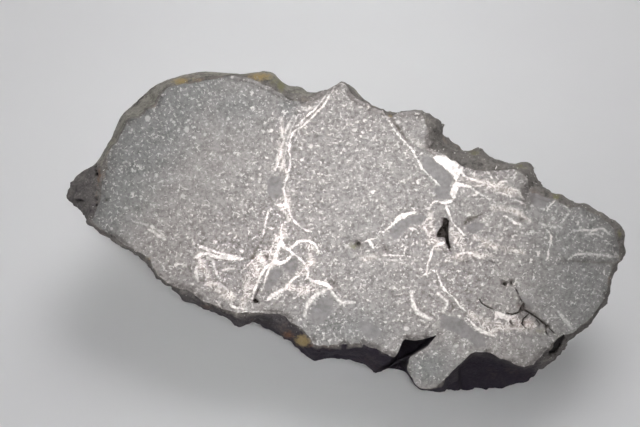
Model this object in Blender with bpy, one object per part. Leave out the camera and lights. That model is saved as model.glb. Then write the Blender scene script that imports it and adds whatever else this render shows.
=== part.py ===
"""A metal-veined chondrite: one stone, sawn and polished on one side, lying on its back.

Metres, +Z up. The origin is the middle of the small flat spot that the stone rests on.
+X runs along the stone, and the sawn face looks up and towards -Y.

The stone is lofted. A first ring follows the edge of the sawn face, the next ones swell
out to the girth, which is the widest outline below the face, and the last ones close in
on the resting spot. The back is then cut by flat break planes and made lumpy.
"""

import math

import bmesh
import bpy
import numpy as np

MM = 0.001

# Driving dimensions, in millimetres where they are lengths. Face coordinates run along
# the stone, up the slope of the sawn face and down below it, from the face's middle.
FACE_TILT = math.radians(27.0)
FACE_HEIGHT = 58.0
REST_CENTRE = (2.0, -17.0)
REST_SCALE = (0.25, 0.32)
WIDEST_BAND = 24.0
EDGE_OVERSHOOT = 1.5
DEEP_GIRTH = (12.0, 20.0)
LUMP_HEIGHT = 2.2

# How finely the stone is divided
RIM_POINTS = 168
GIRTH_RINGS = 5
BODY_RINGS = 17

# How far outlines are blurred, as shares of their length
NORMAL_SPREAD = 0.028
GIRTH_SPREAD = 0.004
BODY_SPREAD = 0.075

# Curves of the back: powers of a quarter turn, and shares of the way down
SPREAD_POWER = 0.7
DROP_POWER = 0.8
CLOSE_POWER = 1.15
BREAK_SHARPNESS = 30.0
FADE_IN = 0.3
FADE_OUT = 0.12
SHARP_EDGE = math.radians(35.0)
PARALLEL = 1e-9

# Edge of the sawn face in millimetres, clockwise from the left, seen square on:
# the first number runs along the stone and the second one up the slope of the face.
FACE_EDGE = (
    (-87.2, 13.4), (-85.2, 18.2), (-84.4, 24.2), (-80.8, 29.4), (-77.2, 36.2),
    (-72.0, 38.6), (-68.0, 41.8), (-64.0, 46.6), (-61.2, 51.0), (-52.0, 52.2),
    (-46.0, 53.4), (-41.6, 53.4), (-34.0, 55.2), (-28.0, 54.0), (-22.0, 51.4),
    (-16.0, 48.2), (-12.8, 45.6), (-5.2, 44.6), (-0.8, 47.8), (3.2, 49.4),
    (7.2, 52.2), (9.6, 52.6), (12.0, 49.0), (15.6, 45.4), (20.8, 42.8),
    (25.2, 41.2), (29.2, 38.6), (32.0, 40.4), (40.4, 40.8), (42.0, 35.8),
    (44.0, 30.2), (44.4, 25.8), (48.0, 23.4), (54.4, 20.6), (61.6, 17.4),
    (68.8, 17.0), (76.8, 17.8), (81.6, 15.8), (83.6, 11.0), (87.5, 8.0),
    (93.2, 5.8), (100.0, 2.2), (105.6, 2.2), (112.0, -1.0), (116.0, -4.2),
    (118.8, -9.8), (119.6, -18.6), (116.4, -22.6), (114.4, -32.2), (110.4, -38.6),
    (107.2, -43.0), (101.2, -48.0), (94.4, -49.8), (90.4, -54.6), (85.6, -60.6),
    (80.0, -61.0), (72.0, -57.8), (67.2, -55.4), (62.0, -55.6), (58.0, -58.2),
    (52.0, -63.8), (47.6, -68.2), (44.4, -70.0), (40.0, -69.6), (37.2, -65.8),
    (34.4, -61.8), (35.6, -57.8), (41.2, -54.6), (44.0, -51.8), (46.4, -49.0),
    (40.8, -50.6), (34.0, -50.2), (32.0, -53.4), (29.6, -57.8), (24.0, -54.6),
    (16.8, -52.0), (8.0, -53.0), (-2.8, -52.2), (-7.2, -46.2), (-14.0, -41.0),
    (-23.2, -39.8), (-32.0, -39.8), (-40.0, -38.2), (-48.8, -33.8), (-56.8, -29.8),
    (-64.0, -25.0), (-68.0, -18.2), (-76.0, -13.4), (-83.2, -9.0), (-91.2, -2.6),
    (-88.8, 2.6), (-87.6, 9.4),
)

# Girth in millimetres, in the same order. The third number is the depth below the face.
GIRTH = (
    (-102.8, 6.6, 15.0), (-99.2, 11.8, 15.0), (-92.8, 18.6, 14.0), (-88.8, 21.8, 13.0),
    (-85.6, 27.4, 13.0), (-82.4, 33.8, 14.0), (-76.8, 41.8, 15.0), (-69.2, 49.0, 15.0),
    (-64.0, 52.2, 14.0), (-56.0, 55.4, 13.0), (-48.0, 57.2, 12.0), (-36.0, 56.6, 10.0),
    (-22.0, 57.0, 12.0), (-18.8, 56.4, 12.0), (-14.8, 52.2, 12.0), (-8.0, 50.8, 10.0),
    (-4.0, 47.8, 6.0), (0.0, 48.8, 5.0), (6.4, 51.4, 5.0), (8.4, 52.8, 5.0),
    (12.4, 51.2, 7.0), (16.8, 46.6, 6.0), (23.6, 41.8, 5.0), (28.0, 39.8, 6.0),
    (32.0, 40.8, 5.0), (40.4, 41.2, 7.0), (47.2, 37.0, 12.0), (49.6, 31.0, 14.0),
    (51.6, 27.4, 14.0), (58.4, 23.8, 12.0), (62.8, 26.2, 13.0), (66.4, 24.4, 12.0),
    (72.0, 19.8, 8.0), (80.0, 20.6, 9.0), (84.4, 16.6, 8.0), (87.2, 14.2, 8.0),
    (87.8, 9.8, 7.0), (96.0, 7.8, 7.0), (100.8, 3.8, 6.0), (107.2, 3.8, 6.0),
    (112.8, -0.6, 7.0), (119.6, -4.6, 8.0), (121.2, -8.6, 9.0), (121.2, -15.4, 9.0),
    (119.6, -19.2, 7.0), (116.6, -22.8, 6.0), (114.6, -32.4, 6.0), (107.4, -43.4, 8.0),
    (101.2, -49.4, 13.0), (95.6, -56.6, 15.0), (90.4, -62.6, 16.0), (84.0, -65.8, 19.0),
    (72.0, -69.8, 22.0), (61.2, -70.4, 22.0), (52.0, -70.5, 18.0), (44.4, -70.4, 10.0),
    (39.0, -69.6, 10.0), (35.0, -64.5, 22.0), (32.2, -60.8, 25.0), (28.4, -60.6, 16.0),
    (22.4, -64.2, 15.0), (17.2, -59.8, 14.0), (6.8, -55.8, 12.0), (0.0, -58.4, 14.0),
    (-6.8, -55.4, 14.0), (-14.4, -50.2, 13.0), (-17.6, -45.4, 10.0), (-26.0, -42.8, 9.0),
    (-32.0, -45.8, 10.0), (-38.0, -40.6, 9.0), (-48.0, -37.4, 9.0), (-55.6, -31.8, 9.0),
    (-64.0, -27.0, 9.0), (-68.8, -21.4, 9.0), (-75.6, -15.0, 9.0), (-83.2, -10.6, 10.0),
    (-92.0, -4.2, 12.0), (-97.2, 1.8, 14.0),
)

# Planes where the back broke off flat: the direction that each one faces, as degrees
# round from +X and degrees up, and the share of the stone's reach that way which is gone.
BODY_MIDDLE = (6.0, 8.0, 40.0)
BREAKS = (
    (-160.0, -46.0, 0.17),
    (-100.0, -52.0, 0.10),
    (-38.0, -50.0, 0.16),
    (-6.0, -34.0, 0.15),
    (38.0, -22.0, 0.17),
    (78.0, -44.0, 0.12),
    (100.0, -6.0, 0.12),
    (140.0, -30.0, 0.16),
    (184.0, -24.0, 0.12),
)

# Long waves that make the broken sides uneven: cycles per metre along X, Y and Z,
# a phase in radians and a share of the lump height.
LUMPS = (
    (17.0, 5.0, -9.0, 0.4, 0.34),
    (-8.0, 21.0, 12.0, 1.9, 0.26),
    (26.0, -18.0, 21.0, 3.1, 0.22),
    (-33.0, -24.0, 9.0, 4.4, 0.18),
)

STONE_COLOUR = (0.33, 0.33, 0.32, 1.0)
STONE_ROUGHNESS = 0.5
STONE_METALLIC = 0.25


def clear_scene():
    """Remove every object, so that the script gives the same scene each time."""
    for thing in list(bpy.data.objects):
        bpy.data.objects.remove(thing, do_unlink=True)


def even_loop(points, count):
    """Return count points, spaced evenly along a closed outline."""
    closed = np.vstack([points, points[:1]])
    steps = np.linalg.norm(np.diff(closed[:, :2], axis=0), axis=1)
    along = np.concatenate([[0.0], np.cumsum(steps)])
    wanted = np.linspace(0.0, along[-1], count, endpoint=False)
    return np.stack([np.interp(wanted, along, column) for column in closed.T], axis=1)


def smooth_loop(values, spread):
    """Blur values round a closed loop with a bell curve, spread as a share of the loop."""
    waves = np.fft.fftfreq(len(values), 1.0 / len(values))
    damping = np.exp(-0.5 * (2.0 * math.pi * waves * spread) ** 2)
    return np.fft.ifft(np.fft.fft(values, axis=0) * damping[:, None], axis=0).real


def outward_directions(outline):
    """Return the smoothed outward direction at each point of a clockwise outline."""
    soft = smooth_loop(outline, NORMAL_SPREAD)
    along = np.roll(soft, -1, axis=0) - np.roll(soft, 1, axis=0)
    outward = np.stack([-along[:, 1], along[:, 0]], axis=1)
    return outward / np.linalg.norm(outward, axis=1)[:, None]


def reach_girth(edge, outward, girth):
    """Follow each outward direction to the girth; return the band's width and its depth.

    Where a direction meets no girth within the widest band, the face's edge is itself the
    widest outline, the band's width is nothing and the depth is that of the nearest point.
    """
    start = girth[:, :2]
    run = np.roll(start, -1, axis=0) - start
    offset = start[None, :, :] - edge[:, None, :]
    cross = outward[:, None, 0] * run[None, :, 1] - outward[:, None, 1] * run[None, :, 0]
    cross = np.where(np.abs(cross) < PARALLEL, PARALLEL, cross)
    reach = (offset[:, :, 0] * run[None, :, 1] - offset[:, :, 1] * run[None, :, 0]) / cross
    share = (offset[:, :, 0] * outward[:, None, 1] - offset[:, :, 1] * outward[:, None, 0]) / cross
    meets = (share >= 0.0) & (share <= 1.0) & (reach > -EDGE_OVERSHOOT) & (reach < WIDEST_BAND)
    reach = np.where(meets, reach, np.inf)
    band = reach.min(axis=1)
    band = np.where(np.isfinite(band), np.maximum(band, 0.0), 0.0)
    tips = edge + outward * band[:, None]
    nearest = np.linalg.norm(tips - start[:, None, :], axis=2).argmin(axis=0)
    both = smooth_loop(np.stack([band, girth[nearest, 2]], axis=1), GIRTH_SPREAD)
    return np.maximum(both[:, 0], 0.0), both[:, 1]


def to_stone_frame(across, up_slope, depth):
    """Turn face coordinates into a position in the stone's frame, all in millimetres."""
    sine = math.sin(FACE_TILT)
    cosine = math.cos(FACE_TILT)
    y = up_slope * cosine + depth * sine
    z = FACE_HEIGHT + up_slope * sine - depth * cosine
    return np.stack([across, y, z], axis=-1) - np.array([*rest_middle(), 0.0])


def rest_middle():
    """Return where the middle of the resting spot lies below the face, in millimetres."""
    across, up_slope = REST_CENTRE
    depth = (FACE_HEIGHT + up_slope * math.sin(FACE_TILT)) / math.cos(FACE_TILT)
    return across, up_slope * math.cos(FACE_TILT) + depth * math.sin(FACE_TILT)


def girth_rings(edge, outward, band, depth):
    """Swell from the face's edge to the girth.

    A shallow band is a rounded shoulder: it runs out first and then down. A deep one is an
    undercut hollow: it drops first and runs out at the bottom. Depths between are blended.
    """
    low, high = DEEP_GIRTH
    hollow = np.clip((depth - low) / (high - low), 0.0, 1.0)
    rings = []
    for step in range(GIRTH_RINGS + 1):
        turn = 0.5 * math.pi * step / GIRTH_RINGS
        out = (1.0 - hollow) * math.sin(turn) + hollow * (1.0 - math.cos(turn))
        down = (1.0 - hollow) * (1.0 - math.cos(turn)) + hollow * math.sin(turn)
        place = edge + outward * (band * out)[:, None]
        rings.append(to_stone_frame(place[:, 0], place[:, 1], depth * down))
    return rings


def body_rings(edge, outward, band, depth):
    """Close in from the girth to the resting spot, losing the outline's small corners.

    The outline shrinks like the cosine of a quarter turn while its height falls like one
    minus the sine, so that every ring stays above the surface and inside the girth.
    """
    girth = edge + outward * band[:, None]
    middle = girth.mean(axis=0)
    top = to_stone_frame(girth[:, 0], girth[:, 1], depth)[:, 2]
    sine = math.sin(FACE_TILT)
    cosine = math.cos(FACE_TILT)
    rings = []
    for step in range(1, BODY_RINGS + 1):
        part = step / BODY_RINGS
        turn = 0.5 * math.pi * part
        inward = (1.0 - math.cos(turn)) ** CLOSE_POWER
        soft = smooth_loop(girth, BODY_SPREAD * part ** SPREAD_POWER) - middle
        scale = 1.0 - inward * (1.0 - np.array(REST_SCALE))
        centre = middle + (np.array(REST_CENTRE) - middle) * inward
        place = centre + soft * scale
        height = top * (1.0 - math.sin(turn) ** DROP_POWER)
        below = (FACE_HEIGHT + place[:, 1] * sine - height) / cosine
        rings.append(to_stone_frame(place[:, 0], place[:, 1], below))
    return rings


def ease(share):
    """Return a smooth step from 0 to 1 as the share goes from 0 to 1."""
    share = min(max(share, 0.0), 1.0)
    return share * share * (3.0 - 2.0 * share)


def reach_past(points, azimuth, rise):
    """Return how far each point lies from the body's middle in one direction."""
    level = math.cos(math.radians(rise))
    facing = np.array([
        level * math.cos(math.radians(azimuth)),
        level * math.sin(math.radians(azimuth)),
        math.sin(math.radians(rise)),
    ])
    return (points - np.array(BODY_MIDDLE)) @ facing


def break_and_roughen(rings):
    """Pull the body in to its break planes, then push it in and out in long waves.

    A point past a plane moves straight towards the body's middle, and the planes' edges
    are rounded by a power mean. Both changes fade out at the girth and the resting spot.
    """
    middle = np.array(BODY_MIDDLE)
    whole = np.vstack(rings)
    past = np.ones(len(whole))
    for azimuth, rise, gone in BREAKS:
        reach = reach_past(whole, azimuth, rise)
        kept = reach.max() * (1.0 - gone)
        past = past + np.maximum(reach / kept, 0.0) ** BREAK_SHARPNESS
    pull = 1.0 - past ** (-1.0 / BREAK_SHARPNESS)
    wave = np.zeros(len(whole))
    for along_x, along_y, along_z, phase, share in LUMPS:
        turns = whole @ np.array([along_x, along_y, along_z]) * MM
        wave = wave + share * np.sin(2.0 * math.pi * turns + phase)
    number = np.repeat(np.arange(len(rings)), RIM_POINTS)
    part = (number - GIRTH_RINGS) / BODY_RINGS
    fade = np.array([ease(p / FADE_IN) * ease((1.0 - p) / FADE_OUT) for p in part])
    arm = whole - middle
    away = arm / np.linalg.norm(arm, axis=1)[:, None]
    whole = whole - arm * (fade * pull)[:, None] + away * (fade * LUMP_HEIGHT * wave)[:, None]
    whole[:, 2] = np.maximum(whole[:, 2], 0.0)
    return np.split(whole, len(rings))


def stone_rings():
    """Return every ring of the stone, from the face's edge to the resting spot."""
    edge = even_loop(np.array(FACE_EDGE), RIM_POINTS)
    outward = outward_directions(edge)
    band, depth = reach_girth(edge, outward, np.array(GIRTH))
    rings = girth_rings(edge, outward, band, depth)
    rings = rings + body_rings(edge, outward, band, depth)
    return break_and_roughen(rings)


def build_stone():
    """Extrude the face's edge through the rings and close both ends with flat faces."""
    mesh = bpy.data.meshes.new("meteorite")
    shape = bmesh.new()
    rings = [ring * MM for ring in stone_rings()]
    verts = [shape.verts.new(point) for point in rings[0]]
    edges = [shape.edges.new((verts[i - 1], verts[i])) for i in range(len(verts))]
    shape.faces.new(verts)
    for ring in rings[1:]:
        grown = bmesh.ops.extrude_edge_only(shape, edges=edges)["geom"]
        edges = [item for item in grown if isinstance(item, bmesh.types.BMEdge) and item.is_boundary]
        ends = [item for item in grown if isinstance(item, bmesh.types.BMVert)]
        for vert, point in zip(ends, ring):
            vert.co = point
    shape.faces.new(ends)
    bmesh.ops.recalc_face_normals(shape, faces=shape.faces)
    bmesh.ops.triangulate(shape, faces=shape.faces, quad_method="SHORT_EDGE", ngon_method="BEAUTY")
    shape.to_mesh(mesh)
    shape.free()
    return mesh


def stone_material():
    """Return the grey, faintly metallic finish of the sawn stone."""
    material = bpy.data.materials.new("sawn_chondrite")
    material.use_nodes = True
    shader = material.node_tree.nodes["Principled BSDF"]
    shader.inputs["Base Color"].default_value = STONE_COLOUR
    shader.inputs["Roughness"].default_value = STONE_ROUGHNESS
    shader.inputs["Metallic"].default_value = STONE_METALLIC
    return material


def main():
    """Build the stone as one object, with its sawn face left sharp."""
    clear_scene()
    mesh = build_stone()
    mesh.materials.append(stone_material())
    stone = bpy.data.objects.new("meteorite", mesh)
    bpy.context.scene.collection.objects.link(stone)
    mesh.shade_smooth()
    mesh.set_sharp_from_angle(angle=SHARP_EDGE)


main()
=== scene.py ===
"""A metal-veined chondrite with one sawn and polished side, on a pale studio floor.

The stone is one closed mesh that stands for the CAD node. Its sawn face is a triangulated
plane with real cavities, cracks and chipped edges, and its sides and back are a grid of
rings that follow the same formula as the CAD solid, with fracture and crust added.
All places on the sawn face are in millimetres: the first number runs along the stone, the
second one up the slope of the face, both from the middle of the camera's view.
"""

import logging
import math
from dataclasses import dataclass
from enum import Enum
from typing import Any, Callable, Iterable, Mapping, Sequence, Union

import bpy
import numpy as np
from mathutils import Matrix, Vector
from mathutils.geometry import delaunay_2d_cdt


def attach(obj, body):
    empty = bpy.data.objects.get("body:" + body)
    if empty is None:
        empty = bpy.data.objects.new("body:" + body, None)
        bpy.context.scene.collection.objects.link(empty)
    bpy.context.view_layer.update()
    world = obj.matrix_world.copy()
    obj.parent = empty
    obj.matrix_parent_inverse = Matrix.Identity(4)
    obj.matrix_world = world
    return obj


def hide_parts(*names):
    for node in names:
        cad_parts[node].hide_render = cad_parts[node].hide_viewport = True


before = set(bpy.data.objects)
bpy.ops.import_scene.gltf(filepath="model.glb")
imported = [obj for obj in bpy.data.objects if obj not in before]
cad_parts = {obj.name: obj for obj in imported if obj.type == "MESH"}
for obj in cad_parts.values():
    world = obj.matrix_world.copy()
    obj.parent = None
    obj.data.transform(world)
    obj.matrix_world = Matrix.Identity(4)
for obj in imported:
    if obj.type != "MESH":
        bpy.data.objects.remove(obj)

MM = 0.001

LOG = logging.getLogger("meteorite")

Number = Union[int, float]
Array = np.ndarray
Colour = tuple[float, float, float]
Triple = tuple[float, float, float]
Pair = tuple[float, float]
Outline = tuple[Pair, ...]
Line = tuple[Triple, ...]
Spots = tuple[tuple[float, ...], ...]
Layer = tuple[float, float, int]


class Ground(Enum):
    """The kinds of surface that a triangle of the stone can have."""

    SAWN = 0
    BROKEN = 1


@dataclass(frozen=True)
class Placement:
    """Where the sawn face lies in the frame.

    Attributes:
        tilt: How far the face's normal leans from +Z towards -Y, in degrees.
        height: Height of the face's middle above the floor, in millimetres.
        rest: Face coordinates that the middle of the resting spot lies straight below.
    """

    tilt: float = 27.0
    height: float = 58.0
    rest: Pair = (2.0, -17.0)

    @property
    def sine(self) -> float:
        """Return the sine of the tilt."""
        return math.sin(math.radians(self.tilt))

    @property
    def cosine(self) -> float:
        """Return the cosine of the tilt."""
        return math.cos(math.radians(self.tilt))

    @property
    def normal(self) -> Array:
        """Return the face's outward normal."""
        return np.array([0.0, -self.sine, self.cosine])

    @property
    def middle(self) -> Array:
        """Return the face's middle, in millimetres."""
        return self.from_face(np.array(0.0), np.array(0.0), np.array(0.0))

    def from_face(self, across: Array, up: Array, depth: Array) -> Array:
        """Turn face coordinates into the stone's frame.

        The slope turns "up" and "depth" about the X axis by the tilt, and the middle of
        the resting spot is then moved to the origin.

        Args:
            across: Distances along the stone, in millimetres.
            up: Distances up the slope of the face.
            depth: Distances below the face.

        Returns:
            Positions in millimetres, one row each.
        """
        across, up, depth = np.broadcast_arrays(across, up, depth)
        low = (self.height + self.rest[1] * self.sine) / self.cosine
        back = self.rest[1] * self.cosine + low * self.sine
        y = up * self.cosine + depth * self.sine - back
        z = self.height + up * self.sine - depth * self.cosine
        return np.stack([across - self.rest[0], y, z], axis=-1)

    def to_face(self, points: Array) -> tuple[Array, Array]:
        """Return where points lie on the face and how far below it.

        Args:
            points: Positions in millimetres.

        Returns:
            Distances along and up the face, two in each row, and the depths.
        """
        offset = points - self.middle
        up = offset @ np.array([0.0, self.cosine, self.sine])
        return np.stack([offset[..., 0], up], axis=-1), -(offset @ self.normal)

    def depth_at(self, up: Array, height: Array) -> Array:
        """Return the depth below the face of points at a height above the floor."""
        return (self.height + up * self.sine - height) / self.cosine


class Lattice:
    """Repeatable noise worked out on whole arrays from hashed grid cells."""

    PRIMES = (0x8DA6B343, 0xD8163841, 0xCB1AB31F)

    @classmethod
    def random(cls, cells: Array, seed: int) -> Array:
        """Return one number from 0 to 1 for each whole-numbered cell.

        The three cell numbers are multiplied by large odd numbers, mixed by exclusive or,
        and stirred by shifts and one more multiplication.

        Args:
            cells: Whole numbers, three in each row.
            seed: Picks one of many independent patterns.

        Returns:
            One random share for each row.
        """
        grid = cells.astype(np.int64).astype(np.uint32)
        code = np.full(grid.shape[:-1], (seed * 0x9E3779B1) & 0xFFFFFFFF, np.uint32)
        for axis, prime in enumerate(cls.PRIMES):
            code = code ^ (grid[..., axis] * np.uint32(prime))
        code = code ^ (code >> np.uint32(13))
        code = code * np.uint32(0x5BD1E995)
        code = code ^ (code >> np.uint32(15))
        return code.astype(np.float64) / 2.0 ** 32

    @classmethod
    def noise(cls, points: Array, size: float, seed: int) -> Array:
        """Return smooth noise from -1 to 1: random corner values, eased between corners.

        Args:
            points: Positions, three numbers in each row.
            size: Distance between corners, in the same unit.
            seed: Picks the pattern.

        Returns:
            One value for each row.
        """
        scaled = points / size
        base = np.floor(scaled)
        share = scaled - base
        share = share * share * (3.0 - 2.0 * share)
        total = np.zeros(points.shape[:-1])
        for corner in np.ndindex(2, 2, 2):
            step = np.array(corner)
            weight = np.prod(np.where(step == 1, share, 1.0 - share), axis=-1)
            total = total + weight * cls.random(base + step, seed)
        return 2.0 * total - 1.0

    @classmethod
    def layered(cls, points: Array, size: float, layers: int, seed: int) -> Array:
        """Return noise summed over layers, each half as coarse and half as strong.

        Args:
            points: Positions, three numbers in each row.
            size: Distance between the first layer's corners.
            layers: How many layers to add up.
            seed: Picks the pattern.

        Returns:
            One value for each row.
        """
        total = np.zeros(points.shape[:-1])
        for layer in range(layers):
            share = 0.5 ** layer
            total = total + share * cls.noise(points, size * share, seed + layer)
        return total

    @classmethod
    def summed(cls, points: Array, layers: Iterable[Layer]) -> Array:
        """Return the sum of noises that are each given by a height, a size and a seed."""
        return sum(height * cls.noise(points, size, seed) for height, size, seed in layers)

    @classmethod
    def facets(cls, points: Array, size: float, crisp: float, seed: int) -> Array:
        """Return the height of a surface made of small tilted flats, as broken stone has.

        Every grid cell holds one jittered centre with a random height and slope. A point's
        height is the mean of the planes of the centres near it, weighted by a bell curve
        of the distance, so each flat rules round its own centre and blends at its edges.

        Args:
            points: Positions, three numbers in each row.
            size: Size of a flat.
            crisp: How quickly one flat gives way to the next.
            seed: Picks the pattern.

        Returns:
            Heights as shares of the flat's size.
        """
        scaled = points / size
        base = np.floor(scaled)
        heights = np.zeros(points.shape[:-1])
        weights = np.full(points.shape[:-1], 1e-9)
        for corner in np.ndindex(3, 3, 3):
            cell = base + np.array(corner) - 1.0
            jitter = np.stack([cls.random(cell, seed + axis) for axis in range(3)], axis=-1)
            slope = np.stack([cls.random(cell, seed + 3 + axis) for axis in range(3)], axis=-1)
            away = scaled - cell - jitter
            weight = np.exp(-crisp * (away ** 2).sum(axis=-1))
            plane = cls.random(cell, seed + 6) - 0.5 + ((slope - 0.5) * away).sum(axis=-1)
            heights = heights + weight * plane
            weights = weights + weight
        return heights / weights


def ease(share: Array) -> Array:
    """Return a smooth step: 0 below 0, 1 above 1, and a cubic curve between."""
    held = np.clip(share, 0.0, 1.0)
    return held * held * (3.0 - 2.0 * held)


def climb(value: Array, start: float, width: float) -> Array:
    """Return an eased step: 0 where a value starts to count, 1 a width farther on."""
    return ease((value - start) / width)


def on_plane(places: Array) -> Array:
    """Return places on the face as points whose third number is 0."""
    return np.column_stack([places, np.zeros(len(places))])


def direction(azimuth: float, rise: float) -> Array:
    """Return the direction at some degrees round from +X towards +Y and some degrees up."""
    turn, lift, level = math.radians(azimuth), math.radians(rise), math.cos(math.radians(rise))
    return np.array([level * math.cos(turn), level * math.sin(turn), math.sin(lift)])


def add_object(name: str, data: bpy.types.ID) -> bpy.types.Object:
    """Make an object and link it into the scene.

    Args:
        name: The object's name.
        data: The mesh, light or camera that it shows.

    Returns:
        The object.
    """
    thing = bpy.data.objects.new(name, data)
    bpy.context.scene.collection.objects.link(thing)
    return thing


def even_loop(points: Array, count: int) -> Array:
    """Return points spaced evenly along a closed outline.

    Args:
        points: The outline's corners. The first two columns are its plane.
        count: How many points to return.

    Returns:
        Rows with the same columns as the corners.
    """
    closed = np.vstack([points, points[:1]])
    steps = np.linalg.norm(np.diff(closed[:, :2], axis=0), axis=1)
    along = np.concatenate([[0.0], np.cumsum(steps)])
    wanted = np.linspace(0.0, along[-1], count, endpoint=False)
    return np.stack([np.interp(wanted, along, column) for column in closed.T], axis=1)


def smooth_loop(values: Array, spread: Union[float, Array]) -> Array:
    """Blur values round a closed loop by damping its waves with a bell curve.

    Args:
        values: One row for each point of the loop.
        spread: Width of the blur as a share of the loop, or several, one in each block.

    Returns:
        The blurred rows, in as many blocks as there are widths.
    """
    waves = np.fft.fftfreq(len(values), 1.0 / len(values))[:, None]
    damping = np.exp(-0.5 * (2.0 * math.pi * waves * spread) ** 2)
    return np.fft.ifft(np.fft.fft(values, axis=0) * damping, axis=-2).real


def along_segment(points: Array, start: Array, run: Array) -> tuple[Array, Array]:
    """Find the nearest place to each point on a straight piece.

    Args:
        points: Places on the face, in millimetres.
        start: Where the piece starts.
        run: How far it goes.

    Returns:
        The nearest places as shares of the piece, and the distances to them.
    """
    share = np.clip(((points - start) @ run) / (run @ run), 0.0, 1.0)
    return share, np.linalg.norm(points - start - share[:, None] * run, axis=1)


def stroke_distance(points: Array, lines: Iterable[Sequence[Triple]],
                    thin: float = 1.0) -> Array:
    """Return how deep each point lies inside strokes of changing width.

    For each straight piece of a stroke, the value is half the width at the nearest place
    on it less the distance to that place, and the largest value over all pieces wins.

    Args:
        points: Places on the face, in millimetres.
        lines: Strokes, each a run of (across, up, width).
        thin: Share of each width that counts.

    Returns:
        Millimetres inside a stroke, or negative outside.
    """
    best = np.full(len(points), -50.0)
    for line in lines:
        corners = np.array(line)
        for start, end in zip(corners[:-1], corners[1:]):
            share, away = along_segment(points, start[:2], end[:2] - start[:2])
            width = start[2] + share * (end[2] - start[2])
            best = np.maximum(best, 0.5 * thin * width - away)
    return best


def patch_distance(points: Array, patches: Iterable[Sequence[Pair]]) -> Array:
    """Return how deep each point lies inside closed patches.

    The value is the distance to the nearest side, positive inside and negative outside.
    A point is inside where a line from it crosses the outline an odd number of times.

    Args:
        points: Places on the face, in millimetres.
        patches: Outlines, each a run of (across, up).

    Returns:
        Millimetres inside a patch, or negative outside.
    """
    best = np.full(len(points), -50.0)
    for patch in patches:
        corners = np.array(patch)
        away = np.full(len(points), np.inf)
        inside = np.zeros(len(points), bool)
        for start, end in zip(corners, np.roll(corners, -1, axis=0)):
            run = end - start
            away = np.minimum(away, along_segment(points, start, run)[1])
            above = (start[1] > points[:, 1]) != (end[1] > points[:, 1])
            rise = end[1] - start[1] if end[1] != start[1] else 1e-9
            meets = start[0] + (points[:, 1] - start[1]) * run[0] / rise
            inside = inside ^ (above & (points[:, 0] < meets))
        best = np.maximum(best, np.where(inside, away, -away))
    return best


def spot_strength(points: Array, spots: Iterable[Sequence[float]]) -> Array:
    """Return the strongest of several soft oval spots at each point.

    Args:
        points: Places on the face, in millimetres.
        spots: Ovals, each (across, up, half length, half height, strength).

    Returns:
        The strength times a bell curve of the distance in half sizes.
    """
    best = np.zeros(len(points))
    for across, up, half_long, half_high, strength in spots:
        away = ((points[:, 0] - across) / half_long) ** 2 + ((points[:, 1] - up) / half_high) ** 2
        best = np.maximum(best, strength * np.exp(-0.7 * away))
    return best


# Holes in the sides, as lines of (across, up, width).
SIDE_HOLES: tuple[Line, ...] = (
    ((97, -49, 2.4), (95.6, -52, 3.2), (93.4, -55.6, 2.4)),
    ((45.4, 34.4, 1), (45.6, 33, 1.4)),
    ((-90.6, 20, 0.7), (-89.4, 15, 1)),
    ((-88.6, 11.6, 0.5), (-89.6, 2.4, 0.7)),
    ((-100.2, 5.6, 0.6), (-96.4, 5.4, 1)),
)

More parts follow.
